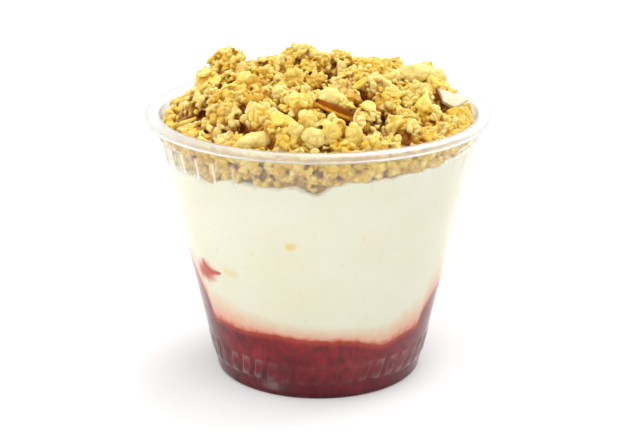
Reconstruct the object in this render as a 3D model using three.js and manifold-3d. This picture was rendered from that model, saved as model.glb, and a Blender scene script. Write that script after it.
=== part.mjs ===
// Yogurt parfait in its clear cup: strawberry compote, yogurt and a heap of granola clusters.
// Millimetres, +Z up, origin on the table under the middle of the cup's foot.
// Angles run round the cup from the front (-Y), positive towards +X.
import * as THREE from 'three';
import { mergeVertices } from 'three/addons/utils/BufferGeometryUtils.js';
import Module from 'manifold-3d';

// ---- driving dimensions ----

const RIM_RADIUS = 46.5; // outside of the rolled lip
const RIM_HEIGHT = 73; // top of the rolled lip
const SHEET = 0.6; // thickness of the clear sheet
const CURL = { across: 2.05, up: 1.4 }; // half-widths of the lip's rolled section, outside
const CURL_END = -60; // degrees: where the roll stops, open underneath
const CURL_STEPS = { inside: 2, outside: 5 }; // facets round the roll
const WALL_RADIUS = 28.35; // the plain wall's outside, carried down to the table
const TAPER = 0.217; // growth of that radius for each millimetre of height
const FOOT_INNER = 24.4; // flat ring that the cup stands on
const FOOT_OUTER = 27.6;
const FOOT_ROUND = 1.5; // height over which the foot turns into the wall
const BASE_RISE = 1.5; // how far the middle of the base is pushed up
const SHOULDER = { low: 57.5, high: 61.3, proud: 0.3 }; // where the wall steps out for stacking
const LEDGE = { low: 67.9, high: 68.3 }; // small step out under the lip
const RIB_COUNT = 45; // ribs in each of the two bands
const RIB_FADE = 0.6; // height over which a rib starts or stops
const LOWER_RIBS = { low: 5.2, high: 10.6, proud: 0.2, lean: 0.45 }; // lean: degrees for each mm
const UPPER_RIBS = { low: 61.9, high: 67.2, proud: 0.2, lean: 0 };

const CLEARANCE = 0.3; // between the wall and what fills it, and round the nuts
const LAYER_GAP = 0.5; // measured straight up between two layers
const FRUIT_MIDDLE = 15; // the compote's surface at the axis
const FRUIT_EDGE = 17.6; // the compote's level on the front of the wall
const FRUIT_BACK = 4; // how much higher it stands at the back
const FRUIT_RIPPLE = { waves: 3, height: 0.5 }; // unevenness of that level round the wall
const FRUIT_CLIMBS = [
  { start: -53, full: -68, fade: -95, end: -150, rise: 17.6 },
  { start: 42, full: 68, fade: 100, end: 150, rise: 10.6 },
]; // where the yogurt has pushed the compote up the wall, by angle
const YOGURT_MIDDLE = 65; // the yogurt's surface at the axis
const YOGURT_EDGE = 63.8; // its mean level on the wall
const YOGURT_TILT = 2.3; // lower on the left, higher on the right
const YOGURT_RIPPLE = { waves: 7, height: 0.4 };
const YOGURT_DIPS = [
  { at: 0, width: 6, depth: 2.6 },
  { at: -43, width: 7, depth: 1 },
  { at: 118, width: 12, depth: 2 },
  { at: -152, width: 10, depth: 2.2 },
]; // where clusters have sunk in at the wall
const FRUIT_SHARES = [1, 0.93, 0.78, 0]; // rings of a surface, as shares of its reach
const YOGURT_SHARES = [1, 0.9, 0.6, 0];
const FRUIT_BEND = 5; // how late a surface bends from its middle level to its level on the wall
const YOGURT_BEND = 3;

const HEAP_RADIUS = 41; // granola at the level of the lip
const HEAP_EDGE = 70.5; // where its side turns into the dome
const HEAP_RISE = 10.5; // height of the smooth dome under the clusters
const HEAP_ROUND = 0.75; // below 1 keeps the dome full towards its edge
const HEAP_RINGS = 14; // rings of facets over the heap
const SPREAD_CLUSTERS = 44; // clusters spread over the dome between the named ones
const CLUSTER_SIZE = { least: 4.6, most: 6.6, sunk: 0.42 }; // half-widths; sunk: share inside the dome
const SLIDE = { from: 31, to: 37, drop: 2.6 }; // the heap lies lower at its far left
const NAMED_CLUSTERS = [
  { at: [-24.2, 8, 80.6], size: [5.7, 6.6, 6.9] }, // left peak
  { at: [-29.8, 4, 77], size: [5.4, 6, 6.2] }, // left shoulder
  { at: [-35.4, -2, 69.8], size: [4.8, 6.2, 4.8] }, // left edge
  { at: [-12.4, 12, 78.2], size: [5.8, 6, 6] }, // left hump
  { at: [-4.4, 10, 80.8], size: [7, 7, 6.8] }, // middle peak
  { at: [5.4, 14, 78.4], size: [6.6, 6.4, 6.4] }, // middle hump
  { at: [14, 11, 78], size: [6.8, 7, 6.2] }, // right of middle
  { at: [27.4, 8, 77.4], size: [6.4, 6.4, 6.2] }, // right hump
  { at: [31.4, 2, 75.2], size: [4.4, 6, 5.4] }, // right shoulder
  { at: [36.0, -4, 71.2], size: [4.4, 6, 4.6] }, // right edge
]; // the clusters that give the heap its outline from the front

// nuts: turn is the roll about its own length, the dip of its right end and the turn seen from above
const SLIVER = { length: 10.5, width: 2.4, thick: 1.5, at: [3.8, -25.5, 78.9], turn: [38, 19, -18] };
const FLAKE = { length: 9.8, width: 6.3, thick: 1.3, at: [34.9, -5, 76.4], turn: [38, 14, 4] };

const CUP_COLUMNS = 2 * RIB_COUNT; // a rib is two facets wide
const LAYER_COLUMNS = 60; // facets round the contents
const SAME_POINT = 1e-4; // vertices closer than this are one
const TURN = 2 * Math.PI;
const GOLDEN_SHARE = (Math.sqrt(5) - 1) / 2;
const GOLDEN_ANGLE = TURN * GOLDEN_SHARE; // spreads clusters evenly over a disc

const wasm = await Module();
wasm.setup();

// ---- helpers ----

/** 0 up to one value, 1 from the other, and a soft rise between them. */
const smooth = (from, to, value) => {
  const t = THREE.MathUtils.clamp((value - from) / (to - from), 0, 1);
  return t * t * (3 - 2 * t);
};

/** Degrees from the front, within -180 to 180. */
const degrees = (theta) => THREE.MathUtils.euclideanModulo(THREE.MathUtils.radToDeg(theta) + 180, 360) - 180;

/** Only positions, shared vertices merged, and the triangles that closed up on the axis dropped. */
function closed(geometry) {
  geometry.deleteAttribute('normal');
  geometry.deleteAttribute('uv');
  const merged = mergeVertices(geometry, SAME_POINT);
  const index = merged.index.array;
  const kept = [];
  for (let k = 0; k < index.length; k += 3) {
    const [a, b, c] = index.subarray(k, k + 3);
    if (a !== b && b !== c && c !== a) kept.push(a, b, c);
  }
  merged.setIndex(kept);
  return merged;
}

/** A lathe turned from rings that start and end on the axis, each with its own reach and height all round.
 *  A ring is a function of the angle and the column's number, and gives [radius, height, turn]. */
function turned(rings, columns) {
  const outline = rings.map((ring) => new THREE.Vector2(...ring(0, 0)));
  const geometry = new THREE.LatheGeometry(outline, columns);
  const position = geometry.attributes.position;
  for (let k = 0; k < position.count; k++) {
    const column = Math.floor(k / rings.length) % columns;
    const theta = (column / columns) * TURN;
    const [radius, height, turn = 0] = rings[k % rings.length](theta, column);
    position.setXYZ(k, radius * Math.sin(theta + turn), -radius * Math.cos(theta + turn), height);
  }
  return closed(geometry);
}

/** A ring with the same reach and height all round. */
const level = (radius, height) => () => [radius, height];

/** A geometry as a manifold solid, for cutting. */
function solid(geometry) {
  const merged = closed(geometry);
  return new wasm.Manifold(
    new wasm.Mesh({
      numProp: 3,
      vertProperties: new Float32Array(merged.attributes.position.array),
      triVerts: new Uint32Array(merged.index.array),
    }),
  );
}

/** A manifold solid as a geometry again. */
function geometryOf(manifold) {
  const mesh = manifold.getMesh();
  const geometry = new THREE.BufferGeometry();
  geometry.setAttribute('position', new THREE.BufferAttribute(mesh.vertProperties, 3));
  geometry.setIndex(new THREE.BufferAttribute(mesh.triVerts, 1));
  return geometry;
}

// ---- the cup ----

/** The wall's outside: a straight taper with the stacking shoulder standing proud near the top. */
const wallRadius = (z) => WALL_RADIUS + TAPER * z + SHOULDER.proud * smooth(SHOULDER.low, SHOULDER.high, z);

/** How far the contents reach out at a height. */
const fillRadius = (z) => wallRadius(z) - SHEET - CLEARANCE;

/** A ring of the wall's outside, or of its inside one sheet further in. */
const plain = (z, inset = 0) => level(wallRadius(z) - inset, z);

/** A ring of the wall's outside inside a rib band: every second column stands proud, and the band leans. */
const ribbed = (ribs, z) => (theta, column) => [
  wallRadius(z) + (column % 2 ? 0 : ribs.proud),
  z,
  THREE.MathUtils.degToRad(ribs.lean * (z - (ribs.low + ribs.high) / 2)),
];

/** The rolled lip's section: points on an oval some way inside the roll's outside, between two angles. */
function curl(inset, from, to, steps) {
  const points = [];
  for (let k = 0; k <= steps; k++) {
    const angle = THREE.MathUtils.degToRad(THREE.MathUtils.lerp(from, to, k / steps));
    points.push(
      level(
        RIM_RADIUS - CURL.across + (CURL.across - inset) * Math.cos(angle),
        RIM_HEIGHT - CURL.up + (CURL.up - inset) * Math.sin(angle),
      ),
    );
  }
  return points;
}

/** One sheet of clear plastic: foot, ribbed wall, shoulder, ledge and the lip rolled over outwards. */
function cup() {
  const neck = RIM_RADIUS - 2 * CURL.across; // inside of the mouth, under the lip
  return turned(
    [
      level(0, BASE_RISE),
      level(FOOT_INNER - BASE_RISE, BASE_RISE),
      level(FOOT_INNER, 0),
      level(FOOT_OUTER, 0),
      plain(FOOT_ROUND),
      plain(LOWER_RIBS.low - RIB_FADE),
      ribbed(LOWER_RIBS, LOWER_RIBS.low),
      ribbed(LOWER_RIBS, LOWER_RIBS.high),
      plain(LOWER_RIBS.high + RIB_FADE),
      plain(SHOULDER.low),
      plain(UPPER_RIBS.low - RIB_FADE),
      ribbed(UPPER_RIBS, UPPER_RIBS.low),
      ribbed(UPPER_RIBS, UPPER_RIBS.high),
      plain(LEDGE.low),
      level(neck + SHEET, LEDGE.high),
      ...curl(SHEET, 180, CURL_END, CURL_STEPS.inside),
      ...curl(0, CURL_END, 180, CURL_STEPS.outside),
      level(neck, LEDGE.high),
      plain(LEDGE.low, SHEET),
      plain(SHOULDER.high, SHEET),
      plain(SHOULDER.low, SHEET),
      plain(FOOT_ROUND, SHEET),
      level(FOOT_OUTER - SHEET / 2, SHEET),
      level(FOOT_INNER + SHEET / 2, SHEET),
      level(FOOT_INNER - BASE_RISE, BASE_RISE + SHEET),
      level(0, BASE_RISE + SHEET),
    ],
    CUP_COLUMNS,
  );
}

// ---- what fills it ----

/** The compote's level on the wall at an angle. */
function fruitEdge(theta) {
  const angle = degrees(theta);
  let edge = FRUIT_EDGE + FRUIT_BACK * smooth(90, 180, Math.abs(angle));
  edge += FRUIT_RIPPLE.height * Math.cos(FRUIT_RIPPLE.waves * theta + 1);
  for (const climb of FRUIT_CLIMBS) {
    const side = Math.sign(climb.start);
    const up = smooth(side * climb.start, side * climb.full, side * angle);
    edge += climb.rise * up * (1 - smooth(side * climb.fade, side * climb.end, side * angle));
  }
  return edge;
}

/** The yogurt's level on the wall at an angle. */
function yogurtEdge(theta) {
  const angle = degrees(theta);
  let edge = YOGURT_EDGE + YOGURT_TILT * Math.sin(theta);
  edge += YOGURT_RIPPLE.height * Math.sin(YOGURT_RIPPLE.waves * theta);
  for (const dip of YOGURT_DIPS) {
    edge -= dip.depth * Math.exp(-(((angle - dip.at) / dip.width) ** 2));
  }
  return edge;
}

/** Rings of a layer's surface: near its middle level it is flat, and it bends to its level on the wall. */
function surface(edge, middle, shares, bend, lift = 0) {
  return shares.map((share) => (theta) => [
    share * fillRadius(edge(theta)),
    middle + (edge(theta) - middle) * share ** bend + lift,
  ]);
}

/** The strawberry compote: from the floor of the cup to a dished surface that climbs the wall. */
function fruitLayer() {
  const floor = SHEET + CLEARANCE;
  return turned(
    [
      level(0, BASE_RISE + floor),
      level(FOOT_INNER - BASE_RISE, BASE_RISE + floor),
      level(FOOT_INNER + CLEARANCE, floor),
      level(FOOT_OUTER - 2 * SHEET, floor),
      () => [fillRadius(2 * FOOT_ROUND), 2 * FOOT_ROUND],
      ...surface(fruitEdge, FRUIT_MIDDLE, FRUIT_SHARES, FRUIT_BEND),
    ],
    LAYER_COLUMNS,
  );
}

/** The yogurt: down to the compote's surface, out to the wall and up to the granola. */
function yogurt() {
  const under = surface(fruitEdge, FRUIT_MIDDLE, FRUIT_SHARES, FRUIT_BEND, LAYER_GAP);
  return turned(
    [
      ...under.reverse(),
      () => [fillRadius(SHOULDER.low), SHOULDER.low],
      ...surface(yogurtEdge, YOGURT_MIDDLE, YOGURT_SHARES, YOGURT_BEND),
    ],
    LAYER_COLUMNS,
  );
}

// ---- the heap ----

/** The smooth dome's height at a distance from the axis. */
const domeHeight = (radius) =>
  HEAP_EDGE + HEAP_RISE * Math.max(0, 1 - (radius / HEAP_RADIUS) ** 2) ** HEAP_ROUND;

/** Clusters spread evenly between the named ones, each as large as its number makes it. */
function spreadClusters() {
  const clusters = [];
  for (let k = 0; k < SPREAD_CLUSTERS; k++) {
    const size = THREE.MathUtils.lerp(CLUSTER_SIZE.least, CLUSTER_SIZE.most, (k * GOLDEN_SHARE) % 1);
    const reach = (HEAP_RADIUS - size) * Math.sqrt((k + 0.5) / SPREAD_CLUSTERS);
    const angle = k * GOLDEN_ANGLE;
    const x = reach * Math.sin(angle);
    const z = domeHeight(reach) - CLUSTER_SIZE.sunk * size - SLIDE.drop * smooth(SLIDE.from, SLIDE.to, -x);
    clusters.push({ at: [x, -reach * Math.cos(angle), z], size: [size, size, size] });
  }
  return clusters;
}

const ALL_CLUSTERS = [...NAMED_CLUSTERS, ...spreadClusters()];

/** The heap's surface over a point: the highest of the dome and the rounded clusters that reach over it. */
function heapHeight(x, y) {
  let height = domeHeight(Math.hypot(x, y));
  for (const { at, size } of ALL_CLUSTERS) {
    const inside = 1 - ((x - at[0]) / size[0]) ** 2 - ((y - at[1]) / size[1]) ** 2;
    if (inside > 0) height = Math.max(height, at[2] + size[2] * Math.sqrt(inside));
  }
  return height;
}

/** The granola as one solid out to its uneven outline, with room left for the two nuts. */
function granola() {
  const under = surface(yogurtEdge, YOGURT_MIDDLE, YOGURT_SHARES, YOGURT_BEND, LAYER_GAP);
  const over = [];
  for (let k = HEAP_RINGS; k >= 0; k--) {
    const reach = (HEAP_RADIUS * k) / HEAP_RINGS;
    over.push((theta) => [reach, heapHeight(reach * Math.sin(theta), -reach * Math.cos(theta))]);
  }
  const heap = solid(turned([...under.reverse(), ...over], LAYER_COLUMNS));
  return geometryOf(heap.subtract(solid(sliver(CLEARANCE))).subtract(solid(flake(CLEARANCE))));
}

// ---- the two nuts on top ----

/** A plate of the given outline with rounded edges, turned and set in its place. */
function plate(outline, { thick, at, turn }, grow) {
  const edge = 0.3 * thick;
  const geometry = new THREE.ExtrudeGeometry(outline, {
    depth: thick - 2 * edge + 2 * grow,
    bevelThickness: edge,
    bevelSize: edge + grow,
    bevelOffset: -edge,
    bevelSegments: 1,
    curveSegments: 6,
  });
  geometry.translate(0, 0, edge - thick / 2 - grow);
  const [x, y, z] = turn.map(THREE.MathUtils.degToRad);
  geometry.applyMatrix4(new THREE.Matrix4().makeRotationFromEuler(new THREE.Euler(x, y, z, 'ZYX')));
  geometry.translate(...at);
  return closed(geometry);
}

/** A long almond sliver with its dark skin: bowed on one side, nearly straight on the other. */
function sliver(grow = 0) {
  const half = SLIVER.length / 2;
  const outline = new THREE.Shape();
  outline.moveTo(-half, 0);
  outline.quadraticCurveTo(0, -0.2 * SLIVER.width, half, -0.1 * SLIVER.width);
  outline.quadraticCurveTo(0.2 * half, 1.6 * SLIVER.width, -half, 0);
  return plate(outline, SLIVER, grow);
}

/** A pale flake cut across an almond: three soft corners. */
function flake(grow = 0) {
  const half = FLAKE.length / 2;
  const outline = new THREE.Shape();
  outline.moveTo(-half, -0.35 * FLAKE.width);
  outline.quadraticCurveTo(0.2 * half, -0.75 * FLAKE.width, half, 0);
  outline.quadraticCurveTo(0.7 * half, 0.65 * FLAKE.width, 0.1 * half, 0.45 * FLAKE.width);
  outline.quadraticCurveTo(-0.6 * half, 0.35 * FLAKE.width, -half, -0.35 * FLAKE.width);
  return plate(outline, FLAKE, grow);
}

// ---- finishes and assembly ----

const clearPlastic = new THREE.MeshStandardMaterial({
  color: 0xf2f5f5,
  roughness: 0.08,
  metalness: 0,
  transparent: true,
  opacity: 0.35,
});
const strawberry = new THREE.MeshStandardMaterial({ color: 0x8a3038, roughness: 0.35, metalness: 0 });
const cream = new THREE.MeshStandardMaterial({ color: 0xede8d3, roughness: 0.45, metalness: 0 });
const toastedOats = new THREE.MeshStandardMaterial({ color: 0xe0bf6b, roughness: 0.75, metalness: 0 });
const almondSkin = new THREE.MeshStandardMaterial({ color: 0x8a4f1e, roughness: 0.6, metalness: 0 });
const almondFlesh = new THREE.MeshStandardMaterial({ color: 0xf1dfae, roughness: 0.55, metalness: 0 });

/** A named piece of the part. */
function piece(name, geometry, material) {
  const mesh = new THREE.Mesh(geometry, material);
  mesh.name = name;
  return mesh;
}

const parfait = new THREE.Group();
parfait.add(
  piece('cup', cup(), clearPlastic),
  piece('fruit_layer', fruitLayer(), strawberry),
  piece('yogurt', yogurt(), cream),
  piece('granola', granola(), toastedOats),
  piece('almond_sliver', sliver(), almondSkin),
  piece('almond_flake', flake(), almondFlesh),
);

export default parfait;
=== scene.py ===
"""Looks of the yogurt parfait in its clear cup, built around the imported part.

Sizes are in millimetres and become metres when a mesh is made. Angles run round the cup from its front
(-Y) and are positive towards +X, as in the part's own source, whose driving dimensions are repeated here.
"""

import logging
import math
from collections.abc import Callable
from dataclasses import dataclass
from enum import Enum
from functools import partial

import bpy
import numpy as np
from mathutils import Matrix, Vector
from mathutils.bvhtree import BVHTree


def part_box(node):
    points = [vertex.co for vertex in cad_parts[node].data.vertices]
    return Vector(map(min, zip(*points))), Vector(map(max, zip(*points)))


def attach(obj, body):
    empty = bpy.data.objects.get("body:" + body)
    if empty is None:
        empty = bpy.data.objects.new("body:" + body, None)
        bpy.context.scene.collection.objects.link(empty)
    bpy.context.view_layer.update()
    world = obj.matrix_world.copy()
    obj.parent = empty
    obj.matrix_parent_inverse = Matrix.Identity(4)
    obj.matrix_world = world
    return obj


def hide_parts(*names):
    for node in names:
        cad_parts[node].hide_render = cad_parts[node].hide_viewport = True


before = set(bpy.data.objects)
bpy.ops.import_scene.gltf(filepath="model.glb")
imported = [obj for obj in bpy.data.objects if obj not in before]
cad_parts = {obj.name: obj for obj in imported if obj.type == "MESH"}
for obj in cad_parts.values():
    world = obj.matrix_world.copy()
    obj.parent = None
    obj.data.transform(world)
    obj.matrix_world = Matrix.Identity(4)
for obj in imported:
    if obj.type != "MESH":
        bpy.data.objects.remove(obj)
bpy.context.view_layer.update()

logging.basicConfig(level=logging.INFO, format="%(message)s")
LOG = logging.getLogger("parfait")

MM = 0.001  # metres in a millimetre
BODY = "root"  # the one body of a part without joints
GOLDEN_SHARE = (math.sqrt(5) - 1) / 2

Array = np.ndarray
Random = np.random.Generator
Mesh = bpy.types.Mesh
Piece = bpy.types.Object
Material = bpy.types.Material
Tree = bpy.types.NodeTree
Socket = bpy.types.NodeSocket
Adder = Callable[..., Socket]  # add_node for one tree


# ---- numbers ----


def smooth(start: float, end: float, value: Array) -> Array:
    """Gives 0 up to one value, 1 from the other, and a soft rise between them.

    Args:
        start: Where the rise starts.
        end: Where it is complete.
        value: The values to rate.

    Returns:
        A share from 0 to 1 for each value: 3t^2 - 2t^3 of the way t from start to end.
    """
    t = np.clip((value - start) / (end - start), 0, 1)
    return t * t * (3 - 2 * t)


def bell(distance: Array, width: float) -> Array:
    """A soft bump that is 1 at distance 0 and fades over a width: e to the minus square of their ratio."""
    return np.exp(-((distance / width) ** 2))


def lattice(cell: Array, seed: int) -> Array:
    """Gives each whole-number point a repeatable random value.

    Args:
        cell: Whole-number points, (..., 3).
        seed: Another seed gives another pattern.

    Returns:
        Values from -1 to 1: the point's numbers, each times a large prime, scrambled by shifts.
    """
    x, y, z = np.moveaxis(cell, -1, 0)
    mixed = (x * 73856093) ^ (y * 19349663) ^ (z * 83492791) ^ (seed * 40503)
    mixed = (mixed ^ (mixed >> 13)) * 1274126177
    return ((mixed ^ (mixed >> 16)) & 0xFFFF) / 32767.5 - 1


def noise(points: Array, size: float, seed: int) -> Array:
    """Random bumps of one size: lattice values blended between the eight corners round each point.

    Args:
        points: Places, (..., 3), in millimetres.
        size: Distance between lattice points, in millimetres.
        seed: Another seed gives another pattern.

    Returns:
        Values from -1 to 1, one for each point.
    """
    cells = points / size
    base = np.floor(cells).astype(np.int64)
    part = cells - base
    ease = part * part * (3 - 2 * part)
    total = np.zeros(cells.shape[:-1])
    for corner in np.ndindex(2, 2, 2):
        step = np.array(corner[::-1])
        weight = np.prod(np.where(step, ease, 1 - ease), axis=-1)
        total += weight * lattice(base + step, seed)
    return total


def pebbles(points: Array, size: float, seed: int) -> tuple:
    """A packing of pebbles: one middle strewn in each cell of a lattice.

    Args:
        points: Places, (n, 3), in millimetres.
        size: The pebbles' mean width, in millimetres.
        seed: Another seed gives another packing.

    Returns:
        For each point its distance to the nearest middle, and how much further off the next one is, which
        is nought where two pebbles meet. Both are shares of the size.
    """
    strewn = 0.42  # how far a middle may lie from its cell's own, as a share of the size
    cells = points / size
    base = np.floor(cells).astype(np.int64)
    nearest = second = np.full(len(points), np.inf)
    for step in np.ndindex(3, 3, 3):
        cell = base + np.array(step[::-1]) - 1
        shift = np.stack([lattice(cell, seed + axis) for axis in range(3)], axis=-1)
        away = np.linalg.norm(cells - cell - 0.5 - strewn * shift, axis=-1)
        second = np.minimum(second, np.maximum(nearest, away))
        nearest = np.minimum(nearest, away)
    return nearest, second - nearest


def wrapped(theta: Array) -> Array:
    """Angles brought between minus and plus half a turn, with nought at the front."""
    return (theta + math.pi) % math.tau - math.pi


def all_round(count: int) -> Array:
    """Evenly spaced angles once round the cup."""
    return np.arange(count) * math.tau / count


def on_circle(theta: Array, radius: Array, height: Array) -> Array:
    """Places at an angle from the front, a distance from the axis and a height."""
    x, y = radius * np.sin(theta), -radius * np.cos(theta)
    return np.stack(np.broadcast_arrays(x, y, height), axis=-1)


def unit(vectors: Array) -> Array:
    """Each vector divided by its length."""
    return vectors / np.linalg.norm(vectors, axis=-1, keepdims=True)


def tumbled(rng: Random, count: int) -> Array:
    """Random turns: the matrices of random unit quaternions.

    Args:
        rng: Random source.
        count: How many.

    Returns:
        The matrices, (count, 3, 3).
    """
    w, x, y, z = unit(rng.normal(size=(count, 4))).T
    rows = [
        [1 - 2 * (y * y + z * z), 2 * (x * y - w * z), 2 * (x * z + w * y)],
        [2 * (x * y + w * z), 1 - 2 * (x * x + z * z), 2 * (y * z - w * x)],
        [2 * (x * z - w * y), 2 * (y * z + w * x), 1 - 2 * (x * x + y * y)],
    ]
    return np.moveaxis(np.array(rows), -1, 0)


def facing(normals: Array, spin: Array) -> Array:
    """Turns that lay a flat thing on a surface.

    Args:
        normals: Where each thing's own +Z points, (n, 3).
        spin: How far each is turned about that normal, in radians.

    Returns:
        Matrices, (n, 3, 3), whose columns are the two spun perpendiculars of the normal, and the normal.
    """
    helper = np.where(np.abs(normals[:, 2:3]) < 0.9, [[0.0, 0.0, 1.0]], [[1.0, 0.0, 0.0]])
    side = unit(np.cross(helper, normals))
    other = np.cross(normals, side)
    c, s = np.cos(spin)[:, None], np.sin(spin)[:, None]
    return np.stack([c * side + s * other, c * other - s * side, normals], axis=-1)


def turned_by(roll: float, dip: float, yaw: float) -> Array:
    """A roll about X, then a dip of the +X end, then a turn about Z.

    Args:
        roll: Degrees about X.
        dip: Degrees about Y.
        yaw: Degrees about Z.

    Returns:
        The matrix, for columns.
    """
    angles = np.radians([roll, dip, yaw])
    (cr, cd, cy), (sr, sd, sy) = np.cos(angles), np.sin(angles)
    about_x = np.array([[1, 0, 0], [0, cr, -sr], [0, sr, cr]])
    about_y = np.array([[cd, 0, sd], [0, 1, 0], [-sd, 0, cd]])
    about_z = np.array([[cy, -sy, 0], [sy, cy, 0], [0, 0, 1]])
    return about_z @ about_y @ about_x


# ---- surfaces ----


@dataclass
class Surface:
    """Points in millimetres and the faces between them, before they become a mesh."""

    points: Array  # places, (n, 3)
    corners: Array  # point numbers of all faces, one face after another
    sizes: Array  # number of corners of each face
    fields: dict  # named values, one for each point, that a finish reads

    def copies(self, places: Array, fields: dict) -> "Surface":
        """The same faces repeated for many sets of points.

        Args:
            places: Points of every copy, (copies, n, 3).
            fields: Named values, one for each copy.

        Returns:
            One surface that holds all the copies.
        """
        count, points = places.shape[:2]
        offsets = np.repeat(np.arange(count) * points, len(self.corners))
        return Surface(
            places.reshape(-1, 3),
            np.tile(self.corners, count) + offsets,
            np.tile(self.sizes, count),
            {name: np.repeat(values, points) for name, values in fields.items()},
        )


def joined(surfaces: list) -> Surface:
    """Several surfaces as one.

    Args:
        surfaces: Surfaces that carry the same fields.

    Returns:
        One surface with the points, faces and fields of all.
    """
    starts = np.cumsum([0] + [len(s.points) for s in surfaces[:-1]])
    return Surface(
        np.concatenate([s.points for s in surfaces]),
        np.concatenate([s.corners + start for s, start in zip(surfaces, starts)]),
        np.concatenate([s.sizes for s in surfaces]),
        {name: np.concatenate([s.fields[name] for s in surfaces]) for name in surfaces[0].fields},
    )


def over_grid(values: Array) -> Array:
    """Values on a turned skin's rows as one list, with the first and last rows closed to a point."""
    return np.concatenate([values[0, :1], values[1:-1].reshape(-1, *values.shape[2:]), values[-1, :1]])


def turned(radius: Array, height: Array, theta: Array) -> Surface:
    """A skin turned about the axis whose reach and height may differ all round.

    Args:
        radius: Distance from the axis at each (row, column).
        height: Height there.
        theta: Angle of each column, or of each (row, column). The first and last rows lie on the axis and
            close up to one point.

    Returns:
        The closed surface: point = (radius sin theta, -radius cos theta, height). Its faces point outwards
        where the rows run upwards.
    """
    rings, columns = len(radius) - 2, radius.shape[1]
    here = np.arange(columns)
    after = (here + 1) % columns
    row = 1 + np.arange(rings)[:, None] * columns
    low, high = row[:-1], row[1:]
    quads = np.stack([low + here, low + after, high + after, high + here], axis=-1)
    first = np.stack([np.zeros_like(here), 1 + after, 1 + here], axis=-1)
    end = np.full_like(here, row[-1, 0] + columns)
    last = np.stack([row[-1] + here, row[-1] + after, end], axis=-1)
    corners = np.concatenate([first.ravel(), quads.ravel(), last.ravel()])
    sizes = np.repeat([3, 4, 3], [columns, (rings - 1) * columns, columns])
    return Surface(over_grid(on_circle(theta, radius, height)), corners, sizes, {})


def ball_grid(rows: int, columns: int) -> Surface:
    """Directions over a ball on rows of latitude, the pattern on which every lump and flake is drawn."""
    latitude = np.linspace(-math.pi / 2, math.pi / 2, rows + 1)[:, None] * np.ones(columns)
    return turned(np.cos(latitude), np.sin(latitude), all_round(columns))


def read(items: bpy.types.bpy_prop_collection, key: str, width: int, kind: type = np.float32) -> Array:
    """A named row of numbers of each of a mesh's points, edges or corners.

    Args:
        items: The points, edges or corners.
        key: The name.
        width: How many numbers are in a row.
        kind: Their type.

    Returns:
        The numbers, a row for each item.
    """
    values = np.zeros(len(items) * width, kind)
    items.foreach_get(key, values)
    return values.reshape(-1, width)


def read_points(mesh: Mesh) -> Array:
    """The mesh's points in millimetres."""
    return read(mesh.vertices, "co", 3).astype(float) / MM


def read_normals(mesh: Mesh) -> Array:
    """The mesh's point normals."""
    return read(mesh.vertex_normals, "vector", 3).astype(float)


def write_points(mesh: Mesh, points: Array) -> None:
    """Moves the mesh's points, given in millimetres."""
    mesh.vertices.foreach_set("co", (points * MM).astype(np.float32).ravel())
    mesh.update()


def write_fields(mesh: Mesh, fields: dict) -> None:
    """Stores named values as attributes of a mesh.

    Args:
        mesh: The mesh.
        fields: One value for each point, by name.
    """
    for name, values in fields.items():
        attribute = mesh.attributes.get(name) or mesh.attributes.new(name, "FLOAT", "POINT")
        attribute.data.foreach_set("value", values.astype(np.float32))


def mesh_of(name: str, surface: Surface) -> Mesh:
    """Makes the Blender mesh of a surface.

    Args:
        name: The mesh's name.
        surface: The surface, in millimetres.

    Returns:
        The mesh, smooth shaded, with the surface's fields as point attributes.
    """
    mesh = bpy.data.meshes.new(name)
    mesh.vertices.add(len(surface.points))
    write_points(mesh, surface.points)
    mesh.loops.add(len(surface.corners))
    mesh.loops.foreach_set("vertex_index", surface.corners.astype(np.int32))
    mesh.polygons.add(len(surface.sizes))
    starts = np.concatenate([[0], np.cumsum(surface.sizes)[:-1]])
    mesh.polygons.foreach_set("loop_start", starts.astype(np.int32))
    mesh.update(calc_edges=True)
    mesh.shade_smooth()
    write_fields(mesh, surface.fields)
    return mesh


def placed(name: str, data: bpy.types.ID) -> Piece:
    """Puts a mesh, lamp or camera in the scene.

    Args:
        name: The object's name.
        data: What it shows.

    Returns:
        The object, at the origin.
    """
    piece = bpy.data.objects.new(name, data)
    bpy.context.scene.collection.objects.link(piece)
    return piece


def finished(mesh: Mesh, material: Material, slot: str, *nodes: str) -> Piece:
    """Puts a mesh in the scene, dresses it, rides it on the part's body and hides the CAD nodes that it
    replaces.

    Args:
        mesh: The piece's mesh, in its place; its name is the piece's.
        material: Its finish.
        slot: Not used.
        *nodes: CAD nodes that this piece replaces.

    Returns:
        The piece.
    """
    piece = placed(mesh.name, mesh)
    mesh.materials.append(material)
    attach(piece, BODY)
    if nodes:
        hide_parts(*nodes)
    LOG.info("%s: %d faces", piece.name, len(mesh.polygons))
    return piece


# ---- finishes ----


def linear(colour: str) -> tuple:
    """Turns an sRGB colour into a linear one.

    Args:
        colour: The colour as hex digits.

    Returns:
        The linear colour, with alpha 1, that a shader reads.
    """
    shares = np.array([int(colour[k : k + 2], 16) for k in (1, 3, 5)]) / 255
    values = np.where(shares <= 0.04045, shares / 12.92, ((shares + 0.055) / 1.055) ** 2.4)
    return (*values.tolist(), 1.0)


def lit_within(share: float, reach: tuple, scale: float) -> dict:
    """Settings of a skin that a share of light goes under: by the reach in red, green and blue times mm."""
    return {"Subsurface Weight": share, "Subsurface Radius": reach, "Subsurface Scale": scale * MM}


def per_metre(size: float) -> float:
    """How many features of a size in millimetres fit in a metre: the scale of a pattern."""
    return 1 / (size * MM)


BLEND = {"data_type": "RGBA"}  # a Mix node that lays colour 7 over colour 6 by the share at 0
SHADE = {"data_type": "RGBA", "blend_type": "MULTIPLY", 0: 1.0}  # one that multiplies colours 6 and 7


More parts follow.
